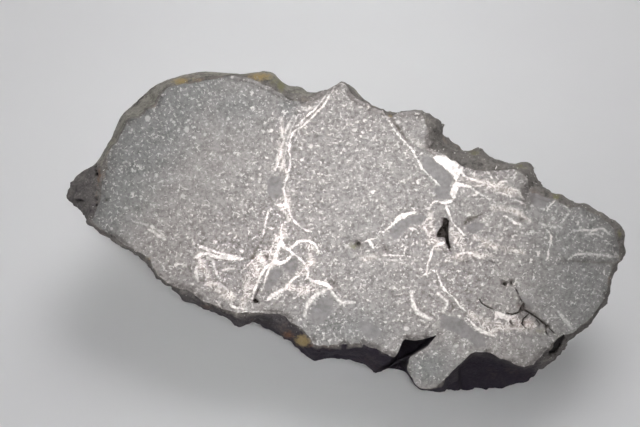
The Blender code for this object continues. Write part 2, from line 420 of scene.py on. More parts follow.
# Edge of the sawn face, clockwise from the left tip.
FACE_EDGE: Outline = (
    (-87.6, 9.4), (-87.2, 13.4), (-85.2, 18.2), (-85, 21), (-84.4, 24.2), (-83.2, 26.4), (-80.8, 29.4),
    (-79.2, 32.4), (-77.4, 36.2), (-76, 37.8), (-72.4, 38.4), (-69.6, 41), (-66, 42.4), (-64, 46.6),
    (-62, 49.4), (-60.6, 50.8), (-58, 51), (-55.4, 51.9), (-52, 52.2), (-48.4, 52.7), (-46, 53.5),
    (-41.6, 53.6), (-38, 54.7), (-34, 55.3), (-31, 54.9), (-28, 54), (-24.8, 52.6), (-22, 51.5),
    (-19.2, 50.3), (-16, 48.2), (-14, 46.6), (-12.6, 45.4), (-11, 44.9), (-8, 44.8), (-5.2, 44.7),
    (-4, 45.5), (-2.4, 46.8), (-0.8, 47.9), (1, 48.7), (3.2, 49.5), (4.8, 50.7), (6.2, 51.2),
    (7.4, 52.2), (8.6, 52.8), (9.8, 52.4), (10.8, 50.9), (12, 49), (13.6, 47), (15.6, 45.4),
    (18.4, 44.2), (20.8, 42.9), (23.2, 41.8), (25.2, 41.3), (26.4, 39.8), (28.6, 38.4), (30.2, 39.6),
    (32, 40.3), (35, 41), (38, 41.3), (40.4, 40.7), (41.4, 38.8), (42, 35.8), (43.4, 33.4),
    (43.8, 30.2), (44.6, 28.2), (44.4, 26.2), (45.8, 24.9), (48, 24.2), (50.4, 23.1), (52, 22),
    (54.2, 20.8), (56.6, 19.5), (59.2, 18.4), (61.6, 17.5), (64.8, 16.9), (68.8, 17.1), (72, 17.4),
    (76.8, 17.9), (79.2, 17.4), (81.6, 15.8), (83, 13.4), (83.4, 11), (84.8, 8.6), (87, 7.8), (90, 6.9),
    (93.2, 5.8), (97.2, 3.9), (100, 2.4), (103.2, 2.7), (105.6, 2.2), (108, 0.6), (112, -1),
    (113.6, -2.6), (116, -4.2), (117.4, -7.2), (118.8, -9.8), (119.6, -12.8), (120, -16),
    (119.4, -18.6), (117.4, -19.9), (116.4, -22.6), (115.6, -25.4), (115.2, -28.6), (114.4, -32.2),
    (112.4, -35.8), (110.6, -38.4), (109, -41.2), (107.2, -43.1), (104.8, -44.7), (102.8, -46.4),
    (101, -48), (98, -48.4), (96.2, -48.7), (94.4, -50), (92.8, -52.2), (90.4, -54.6), (88.4, -57),
    (86.6, -59.2), (85.2, -60.7), (82, -61.4), (80, -61), (77.2, -60), (75, -59), (72, -57.8),
    (69.6, -56.4), (67.2, -55.5), (64.8, -55.3), (62, -55.6), (60, -56.5), (58, -58.1), (56, -60.1),
    (54, -62.1), (52, -63.9), (50.2, -65.6), (49, -67), (47.6, -68.2), (46, -69.3), (44.2, -69.9),
    (42, -69.9), (40, -69.6), (38.6, -68.7), (37.6, -67.2), (37.2, -65.8), (36, -64.6), (34.9, -63.1),
    (34.5, -61.8), (35.3, -60.2), (35.6, -58.2), (37, -56.8), (39.2, -55.7), (41.2, -54.6),
    (42.8, -53.4), (44, -51.9), (45.3, -50.2), (46.6, -48.9), (44.8, -49.2), (43, -49.7), (40.8, -50.6),
    (38.4, -51), (36, -50.5), (34, -50.1), (32.9, -51.2), (32.1, -53.4), (31.6, -55.2), (30.9, -56.7),
    (29.7, -57.7), (28, -57), (26, -55.7), (24, -54.6), (20.6, -53.9), (18.4, -53), (16.8, -52.1),
    (14.4, -51.8), (11, -52.1), (8, -52.9), (4, -52.6), (0, -52.6), (-2.6, -52.1), (-3.7, -50.4),
    (-5.2, -48.2), (-7.2, -46.2), (-9.6, -44.6), (-12, -43), (-14, -41.1), (-17, -40.1), (-23.2, -39.9),
    (-29, -39.7), (-34, -39.6), (-36.8, -38.7), (-40, -38.1), (-43.2, -36.6), (-46, -35.4),
    (-48.8, -33.8), (-51.2, -32), (-54, -30.4), (-56.8, -29.8), (-60, -28.2), (-62.4, -26.6),
    (-64.2, -24.8), (-65.8, -23), (-67.2, -20.6), (-68.2, -18.2), (-70, -17), (-72.8, -15.2),
    (-76, -13.4), (-78, -12.3), (-80.8, -10.7), (-83.2, -9), (-85.8, -7.4), (-88.2, -5.6), (-90, -4),
    (-91.2, -2.4), (-90.2, -0.2), (-88.9, 2.6), (-87.7, 5.6),
)

# Widest outline of the stone below the face, as (across, up, depth), also clockwise.
GIRTH: Line = (
    (-102.8, 6.6, 15), (-101, 9, 15), (-99.2, 11.8, 15), (-96, 14.6, 14.5), (-92.8, 18.4, 14),
    (-89.6, 20.4, 13.5), (-88.8, 21.8, 13), (-87.2, 25, 13), (-85.6, 27.6, 13), (-84, 30.4, 13.5),
    (-82.4, 33.8, 14), (-80.2, 38.4, 14.5), (-76.8, 42, 15), (-73.2, 45.2, 15), (-69.4, 49, 15),
    (-67, 50.8, 14.5), (-64, 52.3, 14), (-60, 53.9, 13.5), (-56, 55.4, 13), (-52, 56.6, 12.5),
    (-48, 57.2, 12), (-42, 57.1, 11), (-36, 56.6, 10), (-31, 56.4, 10.5), (-27, 56.8, 11.5),
    (-22, 57, 12), (-18.6, 56.4, 12), (-16, 53.6, 12), (-14.8, 52.3, 12), (-12, 51.1, 11),
    (-8, 50.8, 10), (-6.4, 49.8, 9), (-4.6, 48.2, 7), (-2, 48.2, 5.5), (0, 48.9, 5), (3.2, 49.6, 5),
    (6.4, 51.3, 5), (8.6, 52.9, 5), (10.6, 52.1, 6), (12.4, 51.3, 7), (14.2, 50, 7), (16.8, 46.8, 6),
    (18.8, 45, 5.5), (21.2, 43.2, 5), (23.6, 42, 5), (26, 41, 5.5), (28.4, 40, 6), (30.4, 39.8, 5.5),
    (32.6, 40.6, 5), (38, 41.4, 6), (40.6, 41, 7), (42.4, 39.2, 10), (45.2, 38.3, 12), (47.4, 37, 12.5),
    (49, 34.6, 13.5), (49.4, 31, 14), (51.4, 28, 14), (53.6, 25.4, 13), (56, 24.3, 12.5),
    (58.2, 24, 12), (59, 25.1, 12.5), (62.4, 26.3, 13), (64.8, 25.7, 12.5), (66.6, 24.5, 12),
    (68.6, 22.8, 10.5), (70.4, 21.2, 9), (72.4, 19.9, 8), (76.8, 19.4, 8), (80, 20.5, 9),
    (82.4, 19.6, 8.5), (84.6, 16.8, 8), (86.6, 15.4, 8), (87.2, 13.4, 8), (87.2, 10.2, 7.5),
    (88.6, 9.2, 7), (91.4, 8.6, 7), (93.4, 7.9, 7), (96, 7.7, 7), (98.2, 5.4, 6.5), (100.8, 3.9, 6),
    (107.2, 3.9, 6), (109, 3, 6.5), (110.8, 1.2, 7), (113, -0.6, 7), (117.6, -3, 7.5), (119.6, -4.6, 8),
    (120.8, -6.4, 8.5), (121.3, -8.8, 9), (121.3, -15.4, 9), (119.8, -19, 7), (117.8, -20, 6.5),
    (116.7, -22.8, 6), (115.5, -28.6, 6), (114.7, -32.4, 6), (110.9, -38.6, 7), (107.4, -43.4, 8),
    (104.2, -45.9, 10), (102.6, -47.6, 12), (101.2, -49.6, 13), (99.4, -52, 14), (97, -54.8, 15),
    (95.4, -56.8, 15), (93.8, -59.2, 16), (92, -61.2, 16), (90.2, -62.8, 16.5), (87.6, -64.4, 17.5),
    (84, -65.9, 19), (78, -67.9, 21), (72, -69.8, 22), (66, -70.5, 22), (61.2, -70.5, 22),
    (52, -70.5, 18), (47.4, -70.4, 12), (44, -70.4, 10), (40, -70, 10), (37.4, -67.8, 13),
    (35, -64.5, 22), (32.2, -60.8, 25), (29.8, -59.2, 20), (28.4, -60.7, 16), (27, -62, 15.5),
    (23.8, -63.2, 15), (22.2, -64.2, 15), (20.4, -62.8, 14.5), (17, -59.8, 14), (13, -58.3, 13),
    (9.6, -57.2, 12.5), (6.8, -55.9, 12), (4, -57, 12.5), (0.2, -58.4, 14), (-2.8, -57.9, 14),
    (-6.8, -55.4, 14), (-10.8, -52.7, 13.5), (-12.2, -50.9, 13), (-14.6, -50.2, 13),
    (-16.2, -48.2, 11.5), (-17.2, -45.6, 10), (-19.6, -43.8, 9.5), (-22, -43.2, 9), (-25.6, -42.8, 9),
    (-27.4, -44.2, 9.5), (-31.6, -45.8, 10), (-33.4, -45, 9.5), (-35.4, -42.4, 9), (-38, -40.6, 9),
    (-44, -39.4, 9), (-48, -37.5, 9), (-53.4, -34.2, 9), (-56, -31.6, 9), (-60, -29.1, 9),
    (-64, -27.1, 9), (-67.4, -23.8, 9), (-69.2, -20.6, 9), (-70.6, -18.8, 9), (-75.6, -15.2, 9),
    (-80.8, -12.9, 9.5), (-83.2, -10.8, 10), (-88, -7.6, 11), (-92, -4.3, 12), (-95.2, 0.2, 13),
    (-97.2, 1.8, 14), (-100, 4.2, 14.5),
)

# Bright metal veins, as lines of (across, up, width).
VEINS: tuple[Line, ...] = (
    ((91.2, 2.4, 0.6), (92.8, 4, 0.9), (94.2, 5.4, 0.7)),
    ((6.5, 51.2, 0.5), (4, 47.8, 0.8), (2.5, 45, 0.9), (1, 42.6, 1.1), (-1, 40.8, 1.2), (-3, 38.6, 1.1),
     (-5, 36.6, 1.2), (-7, 34.9, 1.3), (-9, 34, 0.9), (-10.4, 32.7, 0.9), (-11.5, 31, 1),
     (-12, 29.2, 0.9), (-12.8, 27, 0.7)),
    ((3.2, 48.3, 0.5), (0.5, 44.8, 0.6), (-1.6, 42.1, 0.6), (-4, 40, 0.7), (-6.5, 37.8, 0.5),
     (-8, 36.4, 0.4)),
    ((3, 49.6, 0.6), (5, 51, 0.6), (8.4, 52.6, 0.9), (10.4, 51.2, 0.7)),
    ((-15.4, 26, 0.5), (-15.8, 23.6, 0.8), (-16.4, 21, 1.1), (-17.2, 18.6, 1), (-18, 17, 0.5)),
    ((-11.4, 28.6, 0.5), (-12.2, 26.5, 0.8), (-12.6, 24.8, 0.8), (-11.9, 23, 0.9), (-11.8, 20.5, 1.2),
     (-12.1, 18.2, 1.2), (-12.9, 16, 1), (-13.5, 13.5, 0.9), (-14.1, 11.4, 0.8), (-14.8, 9.8, 0.9),
     (-14.1, 8.2, 1.1), (-13.8, 6.2, 1.4), (-13.7, 4.4, 1.6), (-12.7, 2.6, 1.5), (-12.3, 0.8, 1.3),
     (-11.6, -1, 1.1), (-10.4, -3, 1), (-8.8, -4.6, 1.1), (-7, -6, 0.9), (-5, -7, 0.7),
     (-3, -7.4, 0.4)),
    ((-17, 3.2, 1.2), (-15.6, 3.4, 1.6), (-14, 3.2, 1.6)),
    ((-15.8, 1.6, 0.9), (-13.6, 2.2, 1)),
    ((-20.6, 1, 0.9), (-21.3, -2, 0.9), (-22.1, -4.8, 0.9), (-22.4, -7.4, 0.8), (-23.2, -9.6, 0.5)),
    ((25, 40.9, 1.3), (26.5, 38.6, 1), (28.2, 36.1, 0.9), (29.5, 33.7, 0.8), (31.5, 31.1, 0.8),
     (33.5, 29.1, 0.9), (35.8, 26.7, 0.9), (37.2, 24.9, 1), (38.5, 22.5, 1.2), (39.8, 20.1, 1.2),
     (41, 18, 1), (42.8, 16, 1), (44.5, 14.3, 0.9), (46.3, 12.8, 0.8), (47.8, 11.3, 0.5)),
    ((54.4, 14.6, 1.2), (54.5, 12.2, 1.1)),
    ((60.5, 10.8, 1.1), (62, 9.2, 0.9), (64.5, 7.5, 0.9), (67, 6.1, 0.8), (69.5, 5.2, 0.6)),
    ((56.5, 16.5, 1.6), (58, 14.7, 1.3), (60, 14, 0.9), (62.5, 13, 0.8), (65.2, 12.4, 0.5)),
    ((67.4, 16.4, 1), (68.7, 14.2, 0.8)),
    ((70.2, 8.4, 0.6), (72.6, 8.2, 0.8), (75, 7.4, 0.8), (77.5, 6.6, 0.6)),
    ((71, 11.5, 1.2), (72.8, 12.8, 1.1), (75, 12.9, 0.7)),
    ((76.5, 5.6, 0.7), (79, 5.3, 0.9), (81, 4.3, 1), (82.4, 3.5, 0.7)),
    ((77.4, 9.6, 1), (79.3, 9.2, 1.5), (80.2, 7.4, 1.1), (81.6, 5.6, 0.6)),
    ((43.4, 1.4, 0.6), (44.4, 3.6, 1), (46, 4.8, 1), (48.2, 4.5, 0.8), (50.6, 4.2, 1.6),
     (52.4, 5, 1.2)),
    ((50.6, 2.8, 1.8), (51.3, 0.6, 1.4), (52, -1.4, 1.1), (53, -3.4, 0.8), (54.6, -5.4, 0.7),
     (56.3, -7.2, 0.8), (57.6, -8.8, 0.7)),
    ((25.2, -7.4, 0.9), (27.4, -5.8, 1.2), (29.4, -4, 1.3), (31, -2.4, 2.3), (33, -1.1, 3.3),
     (35, -0.2, 2.3), (37.4, 0.3, 1.3), (38.8, 0.6, 0.6)),
    ((35.4, -5.8, 0.7), (37, -6, 1.2), (38.4, -6.3, 0.6)),
    ((16.4, -11.8, 0.5), (18.5, -11, 0.8), (20.4, -10.2, 0.8), (22.2, -9.9, 0.7), (24, -8.6, 0.5)),
    ((19.6, -10.6, 1.2), (20.4, -12.2, 1.8), (21.4, -13.8, 0.8)),
    ((25.8, -16.8, 0.4), (28.5, -16.7, 0.6), (31, -16.9, 0.7), (33.5, -16.8, 0.5), (36, -17.2, 0.3)),
    ((45.6, -13.2, 0.8), (47, -12.6, 1.2), (48.6, -11.9, 1.8), (49.6, -11.8, 1.2)),
    ((45.4, -13.4, 0.8), (44.7, -15.2, 1.4), (44.3, -17.2, 1.3), (43.6, -19, 1), (42.9, -20.8, 0.9),
     (43, -22.6, 0.8), (42.2, -24.2, 0.9), (41, -25, 0.6)),
    ((54.2, -17.2, 0.6), (56, -16.2, 1.1), (58, -15.6, 1.1), (60.2, -15.7, 1.2), (61.8, -16.7, 1.1),
     (63.8, -17.5, 0.8)),
    ((45.2, -22.6, 0.8), (46.8, -23.8, 0.9), (47.6, -25.8, 0.9), (48.6, -28.4, 0.9), (49.8, -30.4, 1.3),
     (51.6, -32.2, 0.8), (53.4, -33.6, 0.8), (55, -35.4, 1.3), (55.6, -36.8, 0.8), (57.6, -38.4, 0.7),
     (59.6, -40, 0.4)),
    ((73.2, -0.6, 0.8), (74.6, -1.3, 1.2), (76.4, -2.4, 1.7), (78, -3.7, 1.6), (80.4, -4.4, 0.7)),
    ((90.2, -6.2, 0.4), (91.6, -7.6, 0.8), (92.6, -9.2, 1), (92.2, -12, 0.8), (91.4, -14.8, 0.7),
     (91.2, -16.8, 0.9), (90.9, -18.2, 1)),
    ((-48.8, -12.3, 1.1), (-47.8, -13.3, 1.8), (-45.5, -14.2, 1.5), (-43, -14.8, 1.5),
     (-41.3, -15.5, 1.4), (-39, -16.2, 1.4), (-36, -16.8, 1.1), (-33, -17, 0.9), (-32, -16.8, 0.6)),
    ((-49.5, -17.4, 1.8), (-48.2, -16.6, 3.4), (-46.5, -16, 2.2), (-44.4, -16.4, 1.5),
     (-42, -17.2, 2.2), (-39.5, -17.6, 2.5), (-36.5, -17.8, 2.5), (-33.5, -17.9, 2.3), (-31, -18, 1.4)),
    ((-15, -4.4, 0.5), (-15.6, -6.4, 0.7), (-15.5, -8.5, 1), (-15.5, -11, 1.5), (-14.5, -13.5, 1.7),
     (-12.5, -14.5, 1.3), (-11, -16, 1.1), (-9.5, -17, 1.1), (-8.3, -18, 1.1), (-6, -20, 0.8)),
    ((-15.6, -11, 1.8), (-16.5, -13.5, 2), (-17.5, -16, 2.1), (-18, -18.5, 2.4), (-16.5, -20, 2.2),
     (-14, -19.3, 1.8), (-12.3, -17.8, 1.5), (-11.2, -16.5, 1.2)),
    ((-18.6, -11.5, 0.5), (-19.6, -15, 0.8), (-20.6, -18.5, 0.7), (-23.4, -21.5, 0.8),
     (-26.4, -24.5, 0.6), (-29, -27.6, 0.5), (-29.6, -31, 0.4)),
    ((-21.8, -14.4, 0.4), (-24.6, -16.8, 0.7), (-27.8, -19.6, 0.6), (-30.6, -22.6, 0.4)),
    ((-18, -19.5, 2.2), (-20.5, -20.5, 1.7), (-22.5, -22.5, 1.7), (-24, -25, 1.7), (-25, -28, 1.4),
     (-26.5, -31, 1.3), (-27, -34, 0.8)),
    ((-19.5, -21, 1.3), (-20.8, -23, 1.1), (-21.8, -26, 0.9), (-22.5, -28.5, 0.7), (-23.4, -30.8, 0.4)),
    ((-12.5, -14.5, 1.4), (-10.5, -13, 1.4), (-9, -11.5, 1.7), (-7, -10.8, 1.3), (-4.5, -11, 1.1),
     (-2.5, -12, 1.3), (-1.3, -13.5, 1.2), (-0.5, -15.3, 0.7)),
    ((-20.8, -34.3, 1.4), (-19, -32.8, 3), (-16.5, -31.5, 2.7), (-14, -30, 2.2), (-12.5, -28.5, 1.5),
     (-11, -26.5, 1.2), (-9.5, -25.5, 1.1), (-8.3, -25, 0.7)),
    ((-18.8, -34.2, 0.8), (-17, -33.8, 0.9), (-15.8, -32.6, 0.8)),
    ((-5.5, -22, 1.4), (-4.5, -23.2, 1.1), (-5, -25.5, 1.4), (-3, -27, 2.1), (0, -27.6, 2.2),
     (2.2, -28.4, 2.8), (4.2, -29.4, 2)),
    ((-36, -36.2, 1), (-34.5, -37.4, 1.4), (-32, -38, 1.4), (-29.5, -38.3, 1)),
    ((-41.5, -35, 0.9), (-40.2, -36.4, 0.9), (-39.2, -38, 0.6)),
    ((-34.5, -39.5, 0.4), (-26, -39.3, 0.5), (-14, -39.8, 0.4)),
    ((58.4, -41.6, 0.7), (60.6, -43.6, 1), (62.4, -45.6, 2.2), (64.6, -47, 1.8), (67, -48, 2),
     (69.6, -49, 1.2)),
)

# Faint veins, in the same way.
FAINT_VEINS: tuple[Line, ...] = (
    ((-10.5, 39.5, 0.4), (-12.2, 36.4, 0.5), (-13.6, 33.2, 0.4), (-14.4, 29.8, 0.4), (-15.8, 25.6, 0.4),
     (-16.8, 22.2, 0.7), (-17.6, 19.4, 0.7), (-18.6, 16.6, 0.3)),
    ((-9.4, 38.2, 0.2), (-11, 35, 0.2), (-12.3, 31.6, 0.2), (-13.3, 28, 0.2), (-14, 24, 0.3),
     (-15, 19.8, 0.4), (-16.4, 16, 0.3)),
    ((-7, 36.6, 0.1), (-8.8, 32.6, 0.2), (-10.2, 28.2, 0.1)),
    ((88, -4, 0.4), (91, -5, 0.6), (94.2, -5.5, 0.4)),
    ((97.4, 3.4, 0.6), (98.8, 2.4, 0.7), (100, 1, 0.4)),
    ((99.4, -0.2, 0.5), (98, -1.8, 0.5), (96.8, -3.6, 0.4)),
    ((102.8, -4.6, 0.5), (103.6, -2.6, 0.5), (104.6, -0.8, 0.4)),
    ((101.4, -6.9, 0.6), (105, -6.6, 0.7), (109, -6.8, 0.8), (112.8, -5.8, 0.7), (116, -8.2, 0.4)),
    ((106.6, -8.4, 0.5), (110, -8, 0.6), (113.2, -9.4, 0.4)),
    ((99.4, -18.4, 0.5), (101.2, -16.9, 0.9), (104.5, -16.1, 0.8), (110, -16.3, 0.8),
     (119.2, -17.4, 0.7)),
    ((95, -39, 0.6), (97.2, -41.6, 1.4), (99.4, -44.2, 1.4), (101, -46.2, 0.8)),
    ((36.6, -31, 1.2), (36.9, -34, 1.3), (37.6, -37, 1.6), (39.2, -39.6, 1.6), (42.2, -41.2, 1.4),
     (44.6, -42.4, 0.8)),
    ((47, -32, 0.9), (49.2, -33.6, 0.9), (51, -35.4, 0.8), (50.2, -37.4, 0.9), (49.4, -39.4, 0.8)),
    ((-68.4, -6.4, 0.7), (-65.6, -7.8, 0.9), (-63.6, -9.6, 0.9), (-62, -10.4, 0.8)),
    ((-73.5, -3.5, 0.3), (-70, -4.3, 0.4), (-66, -6.1, 0.4), (-63, -8.3, 0.4)),
    ((4.2, -29.8, 1.2), (1, -31.2, 1.4), (-2, -32.8, 1.6), (-4.2, -35.2, 1.6), (-5.4, -38, 1.4),
     (-6.2, -41, 1)),
    ((4, -30.5, 0.8), (6, -33, 1), (8.5, -35.6, 1.2), (14, -35.6, 0.9)),
    ((-45, -17.8, 0.8), (-43.5, -18.5, 0.8), (-42.5, -19.8, 0.8), (-42.3, -21.5, 0.7),
     (-41.5, -23.5, 0.8), (-40.8, -25, 0.5)),
    ((-48.5, -20, 0.8), (-49.5, -22, 1.4), (-49.4, -24.5, 1), (-48.8, -27, 0.6)),
    ((-46, -28.5, 0.7), (-43, -27.8, 0.9), (-40.5, -28, 0.9), (-38.5, -29, 0.8), (-37, -30.5, 0.5)),
    ((-39, -22.5, 0.8), (-36.5, -22.2, 0.8), (-34.5, -22, 0.5)),
    ((25.5, -18.4, 0.3), (30, -18.8, 0.5), (34.5, -18.3, 0.3)),
    ((-6.8, 41.6, 0.6), (-4, 41.8, 0.9), (-1.8, 42.8, 0.6)),
)

# Middle lines of the lace of fine metal threads.
LACE: tuple[Line, ...] = (
    ((-20, -14, 3), (-23, -18, 6), (-26, -23, 7), (-28.5, -28, 6), (-29.5, -33, 4), (-31, -36.5, 3)),
    ((-14.5, -5, 3), (-16, -10, 4.5), (-18.5, -15, 5), (-20, -20, 5)),
    ((-12.5, 9, 2), (-14, 3, 5), (-12, -2, 3)),
    ((-14, -29, 3), (-8, -31, 5), (-3, -30, 5)),
    ((57, 14, 2), (64, 12, 4.4), (72, 10.5, 5), (79, 8, 3.6)),
    ((44, 0.5, 3), (43, -5, 5), (45, -11, 5), (48, -13.5, 4)),
    ((53, -17.5, 3), (60, -16.5, 4), (69, -17, 2)),
    ((56.5, -36, 2), (61, -41, 3), (69, -46, 6), (77, -44, 6), (84, -45, 5)),
    ((54, -9, 5), (57, -13, 4)),
    ((-15.5, 38, 1.6), (-15, 30, 2.4), (-16, 22, 3), (-13, 15, 2)),
    ((-4, -12, 4), (-3, -19, 4), (-8, -24, 4)),
    ((14.6, -16.4, 2.4), (18.6, -18.4, 3.4), (22.6, -16.6, 2.4)),
    ((36, 30, 1.6), (41, 27, 2.4), (46, 24, 1.4)),
    ((-48, -16, 3), (-47, -21, 4), (-44, -28, 4), (-36, -33, 5)),
    ((70, 2, 3.6), (78, 1, 3), (84, -3, 2.4)),
    ((62, -9, 3), (68, -13, 3.4), (75, -14, 3), (82, -16, 2.4)),
)

# Open cracks.
CRACKS: tuple[Line, ...] = (
    ((63.4, -34.2, 0.4), (65, -36.2, 0.6), (67, -37.4, 0.6), (69, -38.2, 0.4)),
    ((74.6, -39.8, 0.5), (77, -40.4, 0.6), (79.4, -39.6, 0.8), (80.8, -38.2, 2), (81.4, -36.2, 1.3)),
    ((78.2, -29.8, 0.2), (79.4, -32.4, 0.4), (80.8, -35.4, 0.5)),
    ((81.8, -38.6, 0.8), (84.4, -40.2, 0.9), (87, -41.8, 0.6), (89.4, -43.8, 0.9), (91.6, -45.8, 0.6),
     (93.6, -47.8, 0.5)),
    ((83.4, -40.4, 0.5), (81.6, -42, 0.7), (80.8, -44, 0.8), (82, -45.8, 0.5)),
    ((86.4, -42.2, 0.4), (87.8, -44, 0.6), (87.2, -46, 0.4)),
    ((76.4, -41.6, 0.4), (76, -43.4, 0.7), (77.2, -44.8, 0.4)),
    ((90.6, -45.4, 0.5), (90.4, -47.4, 0.8), (91.2, -48.6, 0.4)),
    ((-22.8, -26.6, 0.2), (-24.4, -29.6, 0.4), (-25.6, -32.4, 0.4), (-26.4, -34.4, 0.5)),
    ((66.8, -18.6, 0.2), (70, -20, 0.3)),
    ((-78.4, 36.2, 0.6), (-80.4, 32, 0.8), (-82.6, 28.6, 0.5)),
)

# Dull grooves, painted a darker brownish grey: a stain and painted shade in their crease.
GROOVES: tuple[Line, ...] = (
    ((27.4, 39.8, 0.9), (29.6, 36.6, 1.3), (31.4, 34.2, 1.4), (33, 31.8, 1.2), (34.6, 29.4, 0.6)),
    ((100, -18.8, 0.2), (104, -19.2, 0.9), (110, -19.6, 1.2), (116.6, -19.6, 1.4)),
    ((52.4, -39.2, 0.6), (53.2, -37.4, 0.8), (52.6, -35.6, 0.6)),
    ((-22.2, -8.6, 0.7), (-23.6, -11.4, 0.9), (-25.4, -14.4, 1), (-27, -17.4, 1.4)),
    ((1.2, 44.2, 0.4), (-2.4, 40.4, 0.4), (-5, 38, 0.4)),
    ((57.4, -4.4, 0.6), (59.4, -2.8, 2), (61.6, -1.6, 1.8), (64.4, -0.4, 0.8)),
    ((56, -32, 0.6), (59.5, -30, 0.5)),
)

# Closed patches of pure metal, and of plain stone without metal grains.
METAL_PATCHES: tuple[Outline, ...] = (
    ((45.4, 22.2), (46.6, 23.4), (48.6, 23.6), (50.6, 22.9), (52.8, 21.4), (55, 20.3), (57.2, 19.2),
     (57.4, 17.4), (56.2, 16.2), (55.6, 15), (54.6, 13.4), (53.8, 13.6), (53.9, 15.2), (52.4, 16.2),
     (50.6, 17.6), (48.6, 19.2), (46.8, 20.8)),
    ((53.6, 12), (55.2, 12.6), (58, 11.6), (61, 11), (60.4, 10.2), (57.5, 10.6), (55.6, 10.6),
     (54.8, 8.6), (53.9, 5.8), (52.9, 6.2), (52.2, 8.6), (52.7, 10.4)),
    ((70.2, -39), (72, -39.4), (74.2, -40.6), (76.4, -41.1), (78.8, -40.6), (77, -41.9), (75.6, -43),
     (73.4, -42.2), (71, -41.9), (69.6, -43), (69.9, -40.8)),
)
PLAIN_PATCHES: tuple[Outline, ...] = (
    ((84.4, 8.8), (87, 8), (90, 7.2), (92.2, 6.2), (91.4, 4), (89, 2), (85.8, 3), (84, 5.6)),
    ((-21, 13.2), (-19.4, 15), (-15.4, 14.6), (-14.9, 11), (-15.2, 8.6), (-17.2, 6), (-19.8, 6.4),
     (-21.2, 9)),
    ((41.2, 22.8), (43.4, 23.2), (45.2, 21.6), (47.4, 19.2), (50, 17.4), (52.6, 15.6), (53.4, 13.6),
     (52, 10.8), (51.6, 8.6), (52.2, 6.2), (49.8, 5.6), (47, 6.6), (45.4, 9.8), (47.8, 11.6),
     (45.2, 14.2), (43.4, 16.2), (41.4, 18.8), (40.8, 21.2)),
    ((30.6, -3.6), (33.6, -2.6), (36.4, -1.4), (40, -0.2), (43, -1.4), (40.4, -4), (36.4, -4.4),
     (33.6, -7), (31.6, -9.6), (29.4, -10.8), (27.8, -8)),
    ((48.6, -40.2), (52.4, -41.2), (57, -42.2), (61, -46.2), (66, -49.8), (66.2, -53), (62, -54),
     (60, -51), (54, -47.4), (48, -45.6)),
    ((-11.6, -18.4), (-9.8, -17.8), (-8.4, -19.6), (-9.6, -22.6), (-11.8, -24.4), (-14.8, -21.4),
     (-14.6, -20.4)),
    ((-19.8, -22.6), (-17.6, -22), (-15.2, -22.4), (-15.6, -25), (-18.6, -29), (-21.6, -31.6),
     (-22, -28.6), (-20.6, -25)),
    ((80, -33), (84, -34.4), (86, -38), (83.6, -38.6), (81.6, -35.6)),
    ((16, -42.5), (22, -44), (25, -47.5), (22, -50.6), (18, -49.6), (15.4, -45.6)),
    ((61.5, -3.4), (66, -4), (65, -6), (61, -8.4), (58.6, -7.2), (58.6, -5)),
    ((0, -34), (5, -34), (5.5, -38), (2, -43), (-3, -44.5), (-4, -39)),
)

# Outlines of the open cavities that go deep.
CAVITY_OUTLINES: tuple[Outline, ...] = (
    ((49.4, -1.4), (51, -1.6), (51.8, -3), (51.4, -5), (51.5, -8), (51.7, -11.6), (52.4, -13.8),
     (52.6, -16.2), (51.7, -15.2), (50.7, -12.4), (50, -9.8), (47.6, -9.8), (45.8, -9.5), (46.6, -8.1),
     (48, -6.4), (49, -4.6)),
    ((-27, -34.4), (-25.4, -33.8), (-24.4, -35), (-23.6, -36.6), (-25.4, -36.1), (-26.8, -35.8)),
)

# Small pits, smooth dents, and the nodules that stand up in the rough pocket:
# (across, up, half length, half height, depth or height).
PITS: Spots = (
    (15.4, -12.2, 0.8, 0.7, 1.1), (26.2, -14.4, 0.5, 0.5, 0.5), (74, -28.2, 0.8, 0.7, 1.1),
    (76.5, -27.8, 0.5, 0.8, 0.8), (-21.6, -17.4, 0.6, 0.8, 0.45), (80.6, -2.6, 1, 0.5, 0.45),
    (-85.6, 5.2, 0.7, 0.5, 0.6), (58.4, -19.4, 0.7, 0.5, 0.4), (107.5, -12.4, 1.4, 1, 0.2),
    (-76.4, 36.2, 0.6, 0.9, 0.5), (-61.6, 50.6, 0.7, 0.5, 0.4), (43.8, 33.4, 0.5, 0.8, 0.5),
    (44.2, 26.4, 1.2, 0.5, 0.7), (90.8, -45.2, 0.9, 0.7, 1), (5.6, -28, 0.7, 1, 0.4),
)
DENTS: Spots = (
    (83.6, 7.6, 1.5, 2.8, 1.7), (94.2, 7.6, 2.4, 1.4, 1), (89.6, 9.4, 4, 1.2, 0.9),
    (107, -19.4, 12, 0.8, 0.35), (119.6, -14, 1.4, 6, 0.8), (-86, 26, 2, 5, 0.8),
)
NODULES: Spots = (
    (77, -38, 2.4, 1.4, 0.7), (84.2, -43.8, 2.4, 1.7, 1.3), (78.6, -43, 1.6, 1.2, 1),
    (88.4, -46.6, 1.2, 1.2, 1.1), (90.6, -47.6, 1, 1, 0.9), (86, -48, 1.1, 0.9, 0.8),
    (92.4, -47.8, 0.9, 1, 0.9),
)

